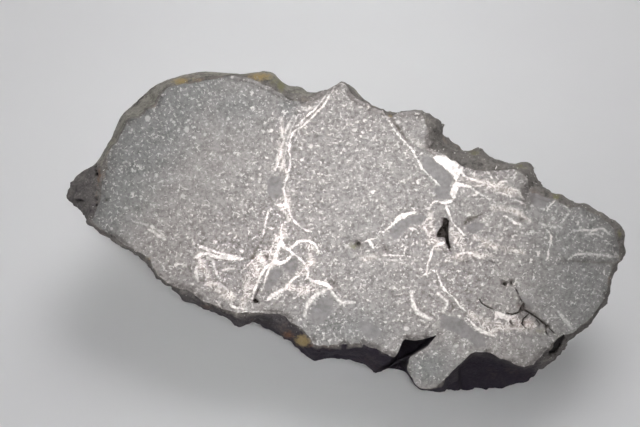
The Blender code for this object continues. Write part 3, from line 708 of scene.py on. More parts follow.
# Large bright grains: (across, up, half length, half height, strength).
GRAINS: Spots = (
    (-68.9, 38, 1, 1.2, 1), (-53.3, 33.6, 0.9, 1.2, 1), (-58.6, 36.6, 0.7, 0.5, 1),
    (-66.7, 31.7, 0.7, 0.6, 0.9), (-63.9, 47.3, 0.6, 0.4, 0.9), (-84, 23.8, 0.5, 0.9, 0.9),
    (-74, 17, 0.6, 0.5, 0.9), (-79.2, 16.6, 0.5, 0.5, 0.8), (-54.8, 7, 1, 0.7, 1),
    (13.8, 33.4, 0.9, 0.7, 1), (31.2, 36.6, 0.9, 0.6, 1), (30, 38.3, 0.6, 0.4, 0.9),
    (-3.6, 26.8, 0.7, 0.8, 1), (-75.2, 33.4, 0.5, 0.7, 0.8), (-53, 47.6, 0.6, 0.7, 0.7),
    (-43.8, 45.4, 0.5, 0.6, 0.8), (-46, 31.6, 0.7, 0.7, 0.8), (-83.4, -6, 0.6, 0.6, 0.9),
    (-77.6, 2.2, 1.2, 0.7, 0.7), (-71.6, 6.8, 0.7, 0.5, 0.8), (26.3, 25, 0.6, 0.5, 0.9),
    (34.6, -46, 1.1, 0.9, 0.9), (66.8, -4.4, 0.5, 0.5, 1), (72.4, -4.4, 0.5, 0.5, 1),
    (33.4, -29.6, 0.6, 0.6, 0.9), (-12, -42.6, 0.7, 0.5, 0.8), (16.2, 42.6, 0.8, 0.5, 0.9),
)

# Stains, by the names they are stored under: (across, up, half length, half height, strength).
STAINS: Mapping[str, Spots] = {
    "ochre": (
        (-56, 53.2, 3.6, 1.5, 0.8), (-50, 53.6, 3.4, 1.2, 0.4), (-24, 55, 5, 2, 0.75),
        (-7.2, -51.2, 2.9, 2.3, 1), (-68.4, -17.9, 1, 1, 0.5), (28, 38.9, 1.3, 1.3, 0.6),
        (-60, 49.8, 3, 1.2, 0.2), (-57, -29.4, 3, 0.8, 0.35), (21.6, 43, 2.4, 0.7, 0.4),
    ),
    "olive": (
        (-15.6, 51.6, 1.8, 3.4, 0.75), (-18.6, 53.4, 2.6, 2.4, 0.5), (-84, 28, 1.6, 7, 0.4),
        (13.4, -13, 2.6, 1.8, 0.75), (46.2, -44, 2, 3, 0.3), (94.8, 6.8, 1.7, 1.2, 0.8),
        (37, -46.5, 3, 2, 0.3), (-17.5, -36.5, 3, 1.5, 0.4), (62, 24.6, 2.4, 1.4, 0.6),
        (88.4, -47.2, 3.2, 1.6, 0.55), (120, -8.2, 1, 1.8, 0.7), (118.8, -17.2, 1.2, 0.7, 0.5),
        (80.4, 19, 3, 1.6, 0.5), (-68, 46.8, 9, 1.6, 0.3), (-40, 56, 9, 1, 0.3),
    ),
    "rust": (
        (-13, -48.8, 2.4, 1.9, 0.75), (-3.6, -52.8, 1.1, 0.9, 0.6), (-27.5, -42.6, 1.8, 0.7, 0.4),
        (-45.4, -37.6, 4, 1.4, 0.4), (-26.8, -17.2, 1, 1.4, 0.6), (-24.6, -27, 2, 6, 0.3),
        (31.6, 34, 1.2, 1.2, 0.4), (-51, 55.2, 2.2, 0.5, 0.5), (-21.6, -17.4, 1.2, 1.5, 0.5),
        (-88.6, 15, 1, 4, 0.6), (-89.8, 7, 0.7, 4, 0.4), (45.6, 37.4, 2.4, 1.6, 0.3),
        (79.4, -3.6, 2.6, 1.4, 0.3), (80.2, -37.4, 1.6, 1.6, 0.5), (83.6, -43.6, 3, 2.2, 0.5),
    ),
}

# Outline of the rough pocket that was broken out of the face near its lower right edge.
POCKET: Outline = (
    (76.4, -37.4), (79.4, -35.2), (82.4, -34.4), (85.2, -38.2), (90.2, -42.8), (93.6, -47.4),
    (91, -50.6), (85, -48.8), (80, -46), (79, -41.8),
)

# Where grains are rare, beside the thinning towards both ends: (across, up, half length,
# half height, strength).
SPARSE: Spots = (
    (-34, 43, 17, 9, 1), (-8, 47, 6, 4, 1), (88, 6, 6, 4, 1.6), (100, -3, 9, 6, 0.9),
    (-88, 20, 2.5, 9, 1), (-62, -18, 8, 9, 0.8), (-52.5, -18, 4, 9, 1.5), (-51.5, -29, 3, 4, 1.5),
    (-17.6, -2.4, 2.4, 2.4, 1.5), (-75, -9, 9, 4, 0.7),
)

# Where the grey is greenish and painted darker as shade, beside both ends, in the same order.
COOL_AND_SHADE: Spots = (
    (-34, 44, 15, 9, 0.8), (-13, 43, 4, 6, 0.9), (42, -62, 12, 8, 1), (1, -38, 5, 5, 0.8),
    (8, -46, 18, 8, 0.8), (92, 2, 10, 6, 0.7),
)


@dataclass
class StoneBody:
    """The sides and back of the stone, from the rim of the face to the resting spot.

    Attributes:
        place: Where the sawn face lies.
        columns: Points round each ring.
        girth_rows: Rings between the rim and the girth.
        body_rows: Rings between the girth and the resting spot.
        rest_scale: Size of the resting spot as shares of the girth.
        band_limits: How far inside and outside the face's edge the girth may run.
        view_distance: Distance that the outlines were measured from, in millimetres.
        blurs: Widths, as shares of the loop, of the blurs that smooth the rim's outward
            directions, the girth, and the girth's copy at the resting spot.
        deep_girth: Depths between which a shoulder turns into an undercut hollow.
        ring_gap: Least distance between the first rings below the rim, in millimetres.
        closing: Powers of the outline's shrinking, its fall and its blur below the girth.
        middle: Middle of the body. Breaks and roughness move points along the line to it.
        breaks: Planes where the back broke off: degrees round, degrees up, share gone.
        break_power: How crisply a break plane meets the stone.
        lumps: Long waves: cycles per metre along X, Y and Z, a phase and a share.
        lump_height: Height of the long waves, in millimetres.
        rim_teeth: Small teeth along the rim: height, size and seed.
        girth_teeth: Small teeth along the girth.
        torn_slope: Where up the slope those get full height, and over how much.
        hackle: Size and height of the broken flats, in millimetres.
        small_hackle: Size and height of the small flats on them, as shares of theirs.
        grit: Height and size of the grit on broken rock.
        thumbprint: Size and depth of the hollows that melting left in the crust.
        crust_grit: Height and size of the grit on the crust.
        hole_depth: How far the holes in the sides go in, in millimetres.
        crust_side: Direction from the body's middle to the middle of the crust.
        crust_edge: Where along that direction the crust starts, and over how much.
        crust_rag: Height and size of the noise at the crust's edge.
        crust_foot: How far up the slope the crust starts, and over how many millimetres.
        shade_slope: The same for the painted shade of the lower side, down the slope.
        shade_depth: The same for its full shade, below the face.
        shade_edge: The same for its full shade along the lowest edge, down the slope.
        tips: How far out both ends of the stone start, and over how much.
        calm: How much smoother the lower side is than the other broken rock.
    """

    place: Placement
    columns: int = 760
    girth_rows: int = 14
    body_rows: int = 46
    rest_scale: Pair = (0.25, 0.32)
    band_limits: Pair = (-1.5, 24.0)
    view_distance: float = 711.0
    blurs: Triple = (0.028, 0.0013, 0.075)
    deep_girth: Pair = (12.0, 20.0)
    ring_gap: float = 0.06
    closing: Triple = (1.15, 0.8, 0.7)
    middle: Triple = (6.0, 8.0, 40.0)
    breaks: tuple[Triple, ...] = (
        (-160.0, -46.0, 0.17), (-100.0, -52.0, 0.10), (-38.0, -50.0, 0.16),
        (-6.0, -34.0, 0.15), (38.0, -22.0, 0.17), (78.0, -44.0, 0.12),
        (100.0, -6.0, 0.12), (140.0, -30.0, 0.16), (184.0, -24.0, 0.12),
    )
    break_power: float = 30.0
    lumps: tuple[tuple[float, ...], ...] = (
        (17.0, 5.0, -9.0, 0.4, 0.34), (-8.0, 21.0, 12.0, 1.9, 0.26),
        (26.0, -18.0, 21.0, 3.1, 0.22), (-33.0, -24.0, 9.0, 4.4, 0.18),
    )
    lump_height: float = 2.2
    rim_teeth: tuple[Layer, ...] = ((0.34, 3.1, 40), (0.3, 1.5, 41))
    girth_teeth: tuple[Layer, ...] = ((0.7, 3.4, 44), (0.45, 1.7, 45))
    torn_slope: Pair = (-6.0, 20.0)
    hackle: Pair = (8.5, 2.6)
    small_hackle: Pair = (0.42, 0.7)
    grit: Pair = (0.42, 2.2)
    thumbprint: Pair = (17.0, 1.3)
    crust_grit: Pair = (0.1, 3.0)
    hole_depth: float = 4.0
    crust_side: Triple = (-0.55, 0.72, 0.1)
    crust_edge: Pair = (0.2, 0.12)
    crust_rag: Pair = (0.16, 22.0)
    crust_foot: Pair = (16.0, 7.0)
    shade_slope: Pair = (12.0, 34.0)
    shade_depth: Pair = (7.0, 10.0)
    shade_edge: Pair = (46.0, 8.0)
    tips: Pair = (86.0, 6.0)
    calm: float = 0.45

    def rim(self) -> Array:
        """Return the face's edge as evenly spaced points with small teeth from noise.

        Returns:
            Places on the face in millimetres, clockwise.
        """
        edge = even_loop(np.array(FACE_EDGE), self.columns)
        teeth = Lattice.summed(on_plane(edge), self.rim_teeth)
        return edge + self.outward(edge) * teeth[:, None]

    def outward(self, edge: Array) -> Array:
        """Return the direction out of a clockwise edge, square to its blurred course.

        Args:
            edge: Places on the face, in order.

        Returns:
            One direction for each place.
        """
        soft = smooth_loop(edge, self.blurs[0])
        along = np.roll(soft, -1, axis=0) - np.roll(soft, 1, axis=0)
        across = np.stack([-along[:, 1], along[:, 0]], axis=1)
        return across / np.linalg.norm(across, axis=1)[:, None]

    def reach_girth(self, edge: Array, outward: Array) -> tuple[Array, Array]:
        """Follow each outward direction until it meets the girth.

        Each ray is crossed with each side of the girth, and the nearest meeting counts.
        Where there is none, the edge itself is the widest outline.

        Args:
            edge: The face's edge.
            outward: One direction for each of its points.

        Returns:
            The band's width and its depth below the face, for each point.
        """
        girth = np.array(GIRTH)
        start = girth[:, :2] * (1.0 + girth[:, 2:] / self.view_distance)
        run = np.roll(start, -1, axis=0) - start
        offset = start[None, :, :] - edge[:, None, :]
        cross = outward[:, None, 0] * run[None, :, 1] - outward[:, None, 1] * run[None, :, 0]
        cross = np.where(np.abs(cross) < 1e-9, 1e-9, cross)
        reach = (offset[..., 0] * run[None, :, 1] - offset[..., 1] * run[None, :, 0]) / cross
        share = (offset[..., 0] * outward[:, None, 1] - offset[..., 1] * outward[:, None, 0]) / cross
        low, high = self.band_limits
        meets = (share >= 0.0) & (share <= 1.0) & (reach > low) & (reach < high)
        band = np.where(meets, reach, np.inf).min(axis=1)
        band = np.where(np.isfinite(band), np.maximum(band, 0.0), 0.0)
        tips = edge + outward * band[:, None]
        nearest = np.linalg.norm(tips - start[:, None, :], axis=2).argmin(axis=0)
        both = smooth_loop(np.stack([band, girth[nearest, 2]], axis=1), self.blurs[1])
        return np.maximum(both[:, 0], 0.0), both[:, 1]

    def swell(self, edge: Array, outward: Array, band: Array, depth: Array, dip: Array) -> Array:
        """Return the rings from the rim to the girth.

        Over a quarter turn, a shallow band moves out by its sine and down by one minus its
        cosine, as a shoulder does, and a deep one the other way round, as a hollow does.

        Args:
            edge: The face's edge.
            outward: Directions out from it.
            band: How far out the girth lies.
            depth: How deep the girth lies.
            dip: How far the rim itself was chipped down.

        Returns:
            Positions in millimetres, by ring and column.
        """
        low, high = self.deep_girth
        hollow = np.clip((depth - low) / (high - low), 0.0, 1.0)[None, :]
        row = np.arange(self.girth_rows + 1)[:, None]
        turn = 0.5 * math.pi * row / self.girth_rows
        out = (1.0 - hollow) * np.sin(turn) + hollow * (1.0 - np.cos(turn))
        down = (1.0 - hollow) * (1.0 - np.cos(turn)) + hollow * np.sin(turn)
        flat = edge[None] + outward[None] * (band[None] * out)[..., None]
        below = np.maximum(depth[None] * down, dip[None] + self.ring_gap * row)
        return self.place.from_face(flat[..., 0], flat[..., 1], below)

    def close_in(self, edge: Array, outward: Array, band: Array, depth: Array) -> Array:
        """Return the rings from the girth to the resting spot.

        Over a quarter turn, the outline shrinks by one minus the cosine, its height falls
        by the sine and its blur grows with the way done, each raised to its own power.

        Args:
            edge: The face's edge.
            outward: Directions out from it.
            band: How far out the girth lies.
            depth: How deep the girth lies.

        Returns:
            Positions in millimetres, by ring and column.
        """
        girth = edge + outward * band[:, None]
        middle = girth.mean(axis=0)
        top = self.place.from_face(girth[:, 0], girth[:, 1], depth)[:, 2]
        part = (np.arange(1, self.body_rows + 1) / self.body_rows)[:, None, None]
        turn = 0.5 * math.pi * part
        shrink, fall, blur = self.closing
        inward = (1.0 - np.cos(turn)) ** shrink
        soft = smooth_loop(girth, self.blurs[2] * part ** blur) - middle
        scale = 1.0 - inward * (1.0 - np.array(self.rest_scale))
        flat = middle + (np.array(self.place.rest) - middle) * inward + soft * scale
        height = top[None, :] * (1.0 - np.sin(turn[..., 0]) ** fall)
        return self.place.from_face(flat[..., 0], flat[..., 1],
                                    self.place.depth_at(flat[..., 1], height))

    def crust(self, points: Array) -> Array:
        """Return where melted crust is left, from 0 to 1: on the rounded upper left side.

        It is an eased step of how far a point faces up the slope and to the left from the
        body's middle, with a ragged edge from noise, and it ends above the left tip.

        Args:
            points: Positions in millimetres.

        Returns:
            One share for each row.
        """
        arm = points - np.array(self.middle)
        arm = arm / np.linalg.norm(arm, axis=-1)[..., None]
        facing = arm @ np.array(self.crust_side)
        height, size = self.crust_rag
        ragged = height * Lattice.layered(points, size, 3, 70)
        places = self.place.to_face(points)[0]
        start, width = self.crust_edge
        facing_up = ease((facing - start + ragged) / width)
        return facing_up * climb(places[..., 1], *self.crust_foot)

    def underside(self, points: Array) -> Array:
        """Return how much a point belongs to the lower side, which is painted in shade, from 0 to 1.

        It is an eased step down the slope. It is full deep below the face and along the
        lowest edge left of the right end, and 0.72 of that near the rest of the rim. Near
        the face it fades beside the right end, and it takes in the left tip at 0.4.

        Args:
            points: Positions in millimetres.

        Returns:
            One share for each row.
        """
        places, depth = self.place.to_face(points)
        across, up = places[..., 0], places[..., 1]
        lowest_edge = climb(-across, -60.0, 10.0) * climb(-up, *self.shade_edge)
        full = np.maximum(climb(depth, *self.shade_depth), lowest_edge)
        right_end = climb(across, *self.tips) * ease(2.4 - depth / 12.0)
        left_tip = climb(-across, *self.tips)
        low = climb(-up, *self.shade_slope) * (0.72 + 0.28 * full) * (1.0 - 0.7 * right_end)
        return np.maximum(low, 0.4 * left_tip) * ease(depth / 0.9)

    def shape(self, dip: Array) -> Array:
        """Return every ring of the stone, broken, lumpy and rough.

        A point past a break plane moves straight towards the body's middle, and the long
        waves, the hackly flats, the crust's hollows and fine grit then move it along the
        same line. All fade out at the rim and at the resting spot.

        Args:
            dip: How far the rim is chipped down, for each column.

        Returns:
            Positions in millimetres, by ring and column.
        """
        edge = self.rim()
        outward = self.outward(edge)
        band, depth = self.reach_girth(edge, outward)
        band = self.tear(edge, band, depth)
        upper = self.swell(edge, outward, band, depth, dip)
        rings = np.concatenate([upper, self.close_in(edge, outward, band, depth)])
        part = (np.arange(len(rings)) - self.girth_rows)[:, None] / self.body_rows
        fade = ease(part / 0.3) * ease((1.0 - part) / 0.12)
        arm = rings - np.array(self.middle)
        away = arm / np.linalg.norm(arm, axis=-1)[..., None]
        wave = self.wave(rings)
        rings = rings - arm * (fade * self.broken_off(arm))[..., None]
        rings = rings + away * (fade * self.lump_height * wave)[..., None]
        rough = self.roughness(rings)
        travelled = np.linalg.norm(rings - rings[:1], axis=-1)
        narrow = ease(1.0 - band / 2.5)
        start = ease(travelled / (2.0 + 10.0 * narrow)) * ease((1.0 - part) / 0.1)
        rings = rings + away * (start * rough)[..., None]
        sunk = self.holes(rings.reshape(-1, 3)).reshape(rings.shape[:2])
        rings = self.keep_below_face(rings - self.place.normal * sunk[..., None])
        rings[..., 2] = np.maximum(rings[..., 2], 0.0)
        return rings

    def tear(self, edge: Array, band: Array, depth: Array) -> Array:
        """Give the girth small teeth where broken rock shows, most along the upper side.

        Args:
            edge: The face's edge.
            band: How far out the girth lies.
            depth: How deep the girth lies.

        Returns:
            How far out the torn girth lies.
        """
        jagged = Lattice.summed(on_plane(edge), self.girth_teeth)
        bare = 1.0 - self.crust(self.place.from_face(edge[:, 0], edge[:, 1], depth))
        bare = bare * (0.2 + 0.8 * climb(edge[:, 1], *self.torn_slope))
        return np.maximum(band + jagged * bare * ease(band / 2.5), 0.0)

    def broken_off(self, arm: Array) -> Array:
        """Return which share of its way to the middle each point moves at the break planes.

        How far a point reaches past each plane, as a share of the plane's distance, is
        raised to a high power. One and all of these are added and brought back to the
        first power, and the share is one less the inverse of that.

        Args:
            arm: Positions from the body's middle.

        Returns:
            One share for each position.
        """
        past = np.ones(arm.shape[:2])
        for azimuth, rise, gone in self.breaks:
            reach = arm @ direction(azimuth, rise)
            kept = reach.max() * (1.0 - gone)
            past = past + np.maximum(reach / kept, 0.0) ** self.break_power
        return 1.0 - past ** (-1.0 / self.break_power)

    def wave(self, points: Array) -> Array:
        """Return the long waves' height at each point, as a sum of slanted sines.

        Args:
            points: Positions in millimetres.

        Returns:
            Heights as shares of the full height.
        """
        total = np.zeros(points.shape[:2])
        for along_x, along_y, along_z, phase, share in self.lumps:
            turns = points @ np.array([along_x, along_y, along_z]) * MM
            total = total + share * np.sin(2.0 * math.pi * turns + phase)
        return total

    def roughness(self, points: Array) -> Array:
        """Return how far broken rock and crust stand out, in millimetres.

        Broken rock is a sum of large and small flats and grit. Crust is a bowl-shaped
        hollow in each of a set of soft cells, with a little grit.

        Args:
            points: Positions in millimetres.

        Returns:
            One height for each row.
        """
        size, height = self.hackle
        broken = height * Lattice.facets(points, size, 7.0, 11)
        finer, lower = self.small_hackle
        broken = broken + lower * height * Lattice.facets(points, finer * size, 9.0, 31)
        broken = broken + self.grit[0] * Lattice.layered(points, self.grit[1], 2, 51)
        span, bowl = self.thumbprint
        prints = -bowl * np.abs(Lattice.noise(points, span, 61))
        melted = prints + self.crust_grit[0] * Lattice.layered(points, self.crust_grit[1], 2, 65)
        share = self.crust(points)
        calm = 1.0 - self.calm * self.underside(points)
        return broken * calm * (1.0 - share) + melted * share

    def holes(self, points: Array) -> Array:
        """Return how far holes in the sides go in along the face's normal, in millimetres.

        They start just below the face, reach as far down as the band that is seen from
        the front, and drop over an eased step of the distance inside their strokes.

        Args:
            points: Positions in millimetres.

        Returns:
            One depth for each row.
        """
        places, depth = self.place.to_face(points)
        inside = ease((stroke_distance(places, SIDE_HOLES) + 0.2) / 0.9)
        return self.hole_depth * inside * ease(depth / 1.5) * ease(5.0 - depth / 5.0)

    def keep_below_face(self, rings: Array) -> Array:
        """Move points that the roughness lifted past the saw cut back below it.

        Args:
            rings: Positions in millimetres, by ring and column.

        Returns:
            The positions, each lower ring a little farther below the cut.
        """
        height = -self.place.to_face(rings)[1]
        row = np.minimum(np.arange(len(rings)), 5)[:, None]
        over = np.maximum(height + 0.05 * row, 0.0)
        over[0] = 0.0
        return rings - self.place.normal * over[..., None]


@dataclass
class SawnFace:
    """The sawn and polished face, as points of a plane and their relief below it.

    Attributes:
        coarse: Distance between points on plain stone, in millimetres.
        fine: Distance between points along veins, cracks and the rim.
        near: How far from a vein or crack the fine points reach.
        rim_zone: How far from the rim they reach.
        shake: How far points are shaken, as a share of the distance between them.
        crack_depth: Depth of an open crack.
        cavity_depth: Depth of the open cavities.
        groove_depth: Depth of the dull grooves.
        pocket_depth: Depth of the rough pocket.
        nodule_height: How far a nodule of strength 1 stands up in the pocket.
        chip_depth: Depth of the chips along the rim.
        thin: Share of the drawn width of metal veins that is solid.
        rare_left: Where along the stone grains start to be common, and over how much.
        rare_right: Where they start to get rare again, and over how much.
        cool_and_shade_right: Where the grey starts to turn greenish and painted darker as shade, and
            over how much.
    """

    coarse: float = 0.92
    fine: float = 0.37
    near: float = 0.42
    rim_zone: float = 1.1
    shake: float = 0.22
    crack_depth: float = 1.0
    cavity_depth: float = 4.0
    groove_depth: float = 0.3
    pocket_depth: float = 0.6
    nodule_height: float = 0.9
    chip_depth: float = 0.75
    thin: float = 0.64
    rare_left: Pair = (-92.0, 62.0)
    rare_right: Pair = (78.0, 22.0)
    cool_and_shade_right: Pair = (72.0, 34.0)

    def grid(self, gap: float, seed: int) -> Array:
        """Return a slightly shaken triangular grid of points over the whole face.

        Args:
            gap: Distance between points.
            seed: Picks the shake.

        Returns:
            Places on the face in millimetres.
        """
        low = np.min(FACE_EDGE, axis=0)
        high = np.max(FACE_EDGE, axis=0)
        rows = np.arange(low[1], high[1], gap * math.sqrt(0.75))
        columns = np.arange(low[0], high[0], gap)
        across, up = np.meshgrid(columns, rows)
        across = across + 0.5 * gap * (np.arange(len(rows)) % 2)[:, None]
        places = np.stack([across.ravel(), up.ravel()], axis=1)
        count = len(places)
        cells = np.stack([np.arange(count), np.zeros(count), np.ones(count)], axis=1)
        moved = np.stack([Lattice.random(cells, seed), Lattice.random(cells, seed + 1)], axis=1)
        return places + self.shake * gap * (moved - 0.5)

    def needs_detail(self, places: Array, inside: Array) -> Array:
        """Return whether each place lies near a thin mark, a hole's edge or the rim.

        Args:
            places: Places on the face.
            inside: Their distance to the rim.

        Returns:
            One truth value for each place.
        """
        thin = stroke_distance(places, VEINS + FAINT_VEINS + CRACKS + GROOVES)
        edges = -np.abs(patch_distance(places, METAL_PATCHES + CAVITY_OUTLINES + (POCKET,)))
        detail = np.maximum(thin, edges) > -self.near
        detail = detail | (spot_strength(places, PITS + NODULES + GRAINS) > 0.25)
        return detail | (inside < self.rim_zone)

    def places(self, rim: Array) -> Array:
        """Return the rim followed by the points inside it.

        A coarse grid gives the points on plain stone and a fine one those near a mark. A
        quick test against every fourth point of the rim drops most of the points outside
        before the whole rim is used.

        Args:
            rim: The evenly spaced points of the face's edge.

        Returns:
            Places on the face in millimetres.
        """
        kept = [rim]
        for gap, seed, wanted in ((self.coarse, 3, False), (self.fine, 5, True)):
            spots = self.grid(gap, seed)
            inside = patch_distance(spots, [rim[::4]])
            spots = spots[inside > 0.45 * self.fine]
            inside = patch_distance(spots, [rim])
            keep = (self.needs_detail(spots, inside) == wanted) & (inside > 0.8 * self.fine)
            kept.append(spots[keep])
        return np.vstack(kept)

    def triangles(self, places: Array, rim_count: int) -> Array:
        """Join the points into triangles, keeping the rim as the outer edge.

        Args:
            places: The rim's points and then the inner ones.
            rim_count: How many of them are the rim.

        Returns:
            Three point numbers in each row, so turned that the face looks out.
        """
        number = np.arange(rim_count)
        edges = np.stack([number, np.roll(number, -1)], axis=1).tolist()
        flat = list(map(Vector, places.tolist()))
        found = delaunay_2d_cdt(flat, edges, [], 1, 1e-6)
        corners = np.array(found[2])
        first, second, third = (places[corners[:, side]] for side in range(3))
        one, other = second - first, third - first
        turned = one[:, 0] * other[:, 1] - one[:, 1] * other[:, 0] < 0.0
        return np.where(turned[:, None], corners[:, ::-1], corners)

    def openings(self, places: Array) -> Array:
        """Return how deep cracks, cavities and pits go, in millimetres.

        Cracks and cavities drop over an eased step of the distance inside them, with an
        uneven bottom from noise, and pits are bell curves.

        Args:
            places: Places on the face.

        Returns:
            One depth for each place.
        """
        flat = on_plane(places)
        ragged = Lattice.layered(flat, 2.4, 3, 80)
        crack = stroke_distance(places, CRACKS)
        hole = patch_distance(places, CAVITY_OUTLINES)
        bottom = self.cavity_depth * (1.0 + 0.3 * Lattice.layered(flat, 1.7, 2, 84))
        depth = self.crack_depth * ease((crack + 0.1 + 0.1 * ragged) / 0.45)
        depth = np.maximum(depth, bottom * ease((hole + 0.25 * ragged) / 0.9))
        return np.maximum(depth, spot_strength(places, PITS))

    def relief(self, places: Array, inside: Array) -> Array:
        """Return how far each point lies below the saw cut, in millimetres.

        Grooves and the pocket drop over an eased step of the distance inside them, the
        pocket's nodules are bell curves, and the rim is chipped where noise is high.

        Args:
            places: Places on the face.
            inside: Their distance to the rim.

        Returns:
            One depth for each place.
        """
        flat = on_plane(places)
        groove = stroke_distance(places, GROOVES)
        pocket = patch_distance(places, [POCKET])
        ragged = Lattice.layered(flat, 2.4, 3, 80)
        grooved = self.groove_depth * ease((groove + 0.3 + 0.2 * ragged) / 1.5)
        depth = np.maximum(self.openings(places), grooved)
        depth = np.maximum(depth, spot_strength(places, DENTS))
        rough = ease((pocket + 0.6 * ragged) / 2.6)
        depth = depth + rough * self.pocket_depth * (0.75 + 0.5 * ragged)
        depth = depth - rough * self.nodule_height * spot_strength(places, NODULES)
        chipped = ease(2.4 * Lattice.layered(flat, 5.0, 3, 90) + 0.15)
        depth = depth + self.chip_depth * chipped * ease(1.0 - inside / 1.5)
        return np.maximum(depth, 0.0)

    def density(self, places: Array) -> Array:
        """Return how thickly metal grains lie, from 0 to 1: least at both ends.

        Args:
            places: Places on the face.

        Returns:
            One share for each place.
        """
        flat = on_plane(places)
        across = places[:, 0] + 0.25 * places[:, 1] + 7.0 * Lattice.layered(flat, 18.0, 2, 120)
        left = climb(across, *self.rare_left)
        right = 1.0 - 0.9 * climb(across, *self.rare_right)
        return (0.22 + 0.78 * left) * right * (1.0 - 0.55 * spot_strength(places, SPARSE))

    def coolness_and_shade(self, places: Array) -> Array:
        """Return how far the grey leans to green and blue and is painted darker as shade, from 0 to 1:
        most at both ends.

        Args:
            places: Places on the face.

        Returns:
            One share for each place.
        """
        left = ease(0.026 * places[:, 1] - 0.036 * places[:, 0] - 2.12)
        right = climb(places[:, 0], *self.cool_and_shade_right)
        return np.maximum(np.maximum(0.95 * left, 0.8 * right), spot_strength(places, COOL_AND_SHADE))

    def marks(self, places: Array) -> dict[str, Array]:
        """Return the values that the sawn finish reads at each point of the face.

        Args:
            places: Places on the face.

        Returns:
            One array for each stored name.
        """
        metal = stroke_distance(places, VEINS, self.thin)
        return {
            "vein": np.maximum(metal, patch_distance(places, METAL_PATCHES)),
            "faint": stroke_distance(places, FAINT_VEINS),
            "lace": stroke_distance(places, LACE),
            "groove": stroke_distance(places, GROOVES),
            "plain": patch_distance(places, PLAIN_PATCHES),
            "grain": spot_strength(places, GRAINS),
            "density": self.density(places),
            "cool_tint_and_shade": self.coolness_and_shade(places),
            "cut": self.openings(places),
        }


@dataclass
class Chondrite:
    """The whole stone: its shape, its marks and its two finishes.

    Attributes:
        place: Where the sawn face lies.
        body: The sides and back.
        face: The sawn face.
        sharp: Angle past which an edge stays crisp, in degrees.
    """

    place: Placement
    body: StoneBody
    face: SawnFace
    sharp: float = 48.0

    def build(self) -> bpy.types.Object:
        """Build the closed mesh, store its marks and dress it.

        Returns:
            The finished object.
        """
        rim = self.body.rim()
        places = self.face.places(rim)
        inside = patch_distance(places, [rim])
        inside[:len(rim)] = 0.0
        relief = self.face.relief(places, inside)
        rings = self.body.shape(relief[:len(rim)])
        top = self.place.from_face(places[:, 0], places[:, 1], relief)
        lower = rings[1:].reshape(-1, 3)
        foot = rings[-1].mean(axis=0)[None]
        points = np.vstack([top, lower, foot])
        sawn = self.face.triangles(places, len(rim)).tolist()
        sides = self.side_faces(len(rim), len(top), len(rings))
        mesh = bpy.data.meshes.new("meteorite_stone")
        mesh.from_pydata((points * MM).tolist(), [], sawn + sides)
        self.store(mesh, {**self.face.marks(places), **self.tints(points)})
        kinds = np.full(len(mesh.polygons), Ground.BROKEN.value, np.int32)
        kinds[:len(sawn)] = Ground.SAWN.value
        mesh.materials.append(SawnFinish().build())
        mesh.materials.append(BrokenFinish().build())
        mesh.polygons.foreach_set("material_index", kinds)
        mesh.shade_smooth()
        mesh.set_sharp_from_angle(angle=math.radians(self.sharp))
        self.sharpen_rim(mesh, len(rim))
        mesh.validate()
        return add_object("meteorite_stone", mesh)

    def side_faces(self, columns: int, top_count: int, rows: int) -> list[list[int]]:
        """Return the quads of the sides and the fan that closes the resting spot.

        Args:
            columns: Points round each ring.
            top_count: Points of the face, of which the rim comes first.
            rows: Rings, the rim among them.

        Returns:
            Point numbers of each face, so turned that the faces look out.
        """
        lower = top_count + np.arange((rows - 1) * columns).reshape(rows - 1, columns)
        number = np.vstack([np.arange(columns)[None], lower])
        beside = np.roll(number, -1, axis=1)
        quads = np.stack([number[:-1], beside[:-1], beside[1:], number[1:]], axis=-1)
        foot = np.full(columns, top_count + (rows - 1) * columns)
        fan = np.stack([number[-1], beside[-1], foot], axis=-1)
        return quads.reshape(-1, 4).tolist() + fan.tolist()

    def tints(self, points: Array) -> dict[str, Array]:
        """Return the stains, the crust, the lower side's painted shade, the holes and the depth
        everywhere.

        Stains are placed by face coordinates and fade out with the depth below the face.

        Args:
            points: Positions in millimetres.

        Returns:
            One array for each stored name.
        """
        places, depth = self.place.to_face(points)
        near = ease(1.4 - depth / 26.0)
        tints = {name: spot_strength(places, spots) * near for name, spots in STAINS.items()}
        tints["crust"] = self.body.crust(points) * climb(depth, 0.6, 2.0)
        tints["under"] = self.body.underside(points)
        tints["hole"] = self.body.holes(points)
        tints["deep"] = depth
        return tints

    def store(self, mesh: bpy.types.Mesh, marks: Mapping[str, Array]) -> None:
        """Store values on the mesh's points; points past the end of an array get 0.

        Args:
            mesh: The stone's mesh.
            marks: One array for each name.
        """
        for name, values in marks.items():
            whole = np.zeros(len(mesh.vertices), np.float32)
            whole[:len(values)] = values
            mesh.attributes.new(name, "FLOAT", "POINT").data.foreach_set("value", whole)

    def sharpen_rim(self, mesh: bpy.types.Mesh, columns: int) -> None:
        """Keep the line between the sawn face and the sides crisp.

        Args:
            mesh: The stone's mesh, whose first points are the rim.
            columns: Points round the rim.
        """
        pairs = np.empty(2 * len(mesh.edges), np.int32)
        mesh.edges.foreach_get("vertices", pairs)
        pairs = pairs.reshape(-1, 2)
        gap = np.abs(pairs[:, 0] - pairs[:, 1])
        on_rim = (pairs.max(axis=1) < columns) & ((gap == 1) | (gap == columns - 1))
        sharp = np.empty(len(pairs), bool)
        mesh.edges.foreach_get("use_edge_sharp", sharp)
        mesh.edges.foreach_set("use_edge_sharp", sharp | on_rim)


def operator(operation: str, reflected: bool = False) -> Callable[..., "Shade"]:
    """Return a method that adds one Math node where Python meets an operator.

    Args:
        operation: The node's operation.
        reflected: Whether the method's own value comes second.

    Returns:
        The method.
    """
    def method(self: "Shade", *others: Union["Shade", Number]) -> "Shade":
        """Return the operation's result on this value and the other one, if there is one."""
        values = (*others, self) if reflected else (self, *others)
        return self.math(operation, *values)
    return method


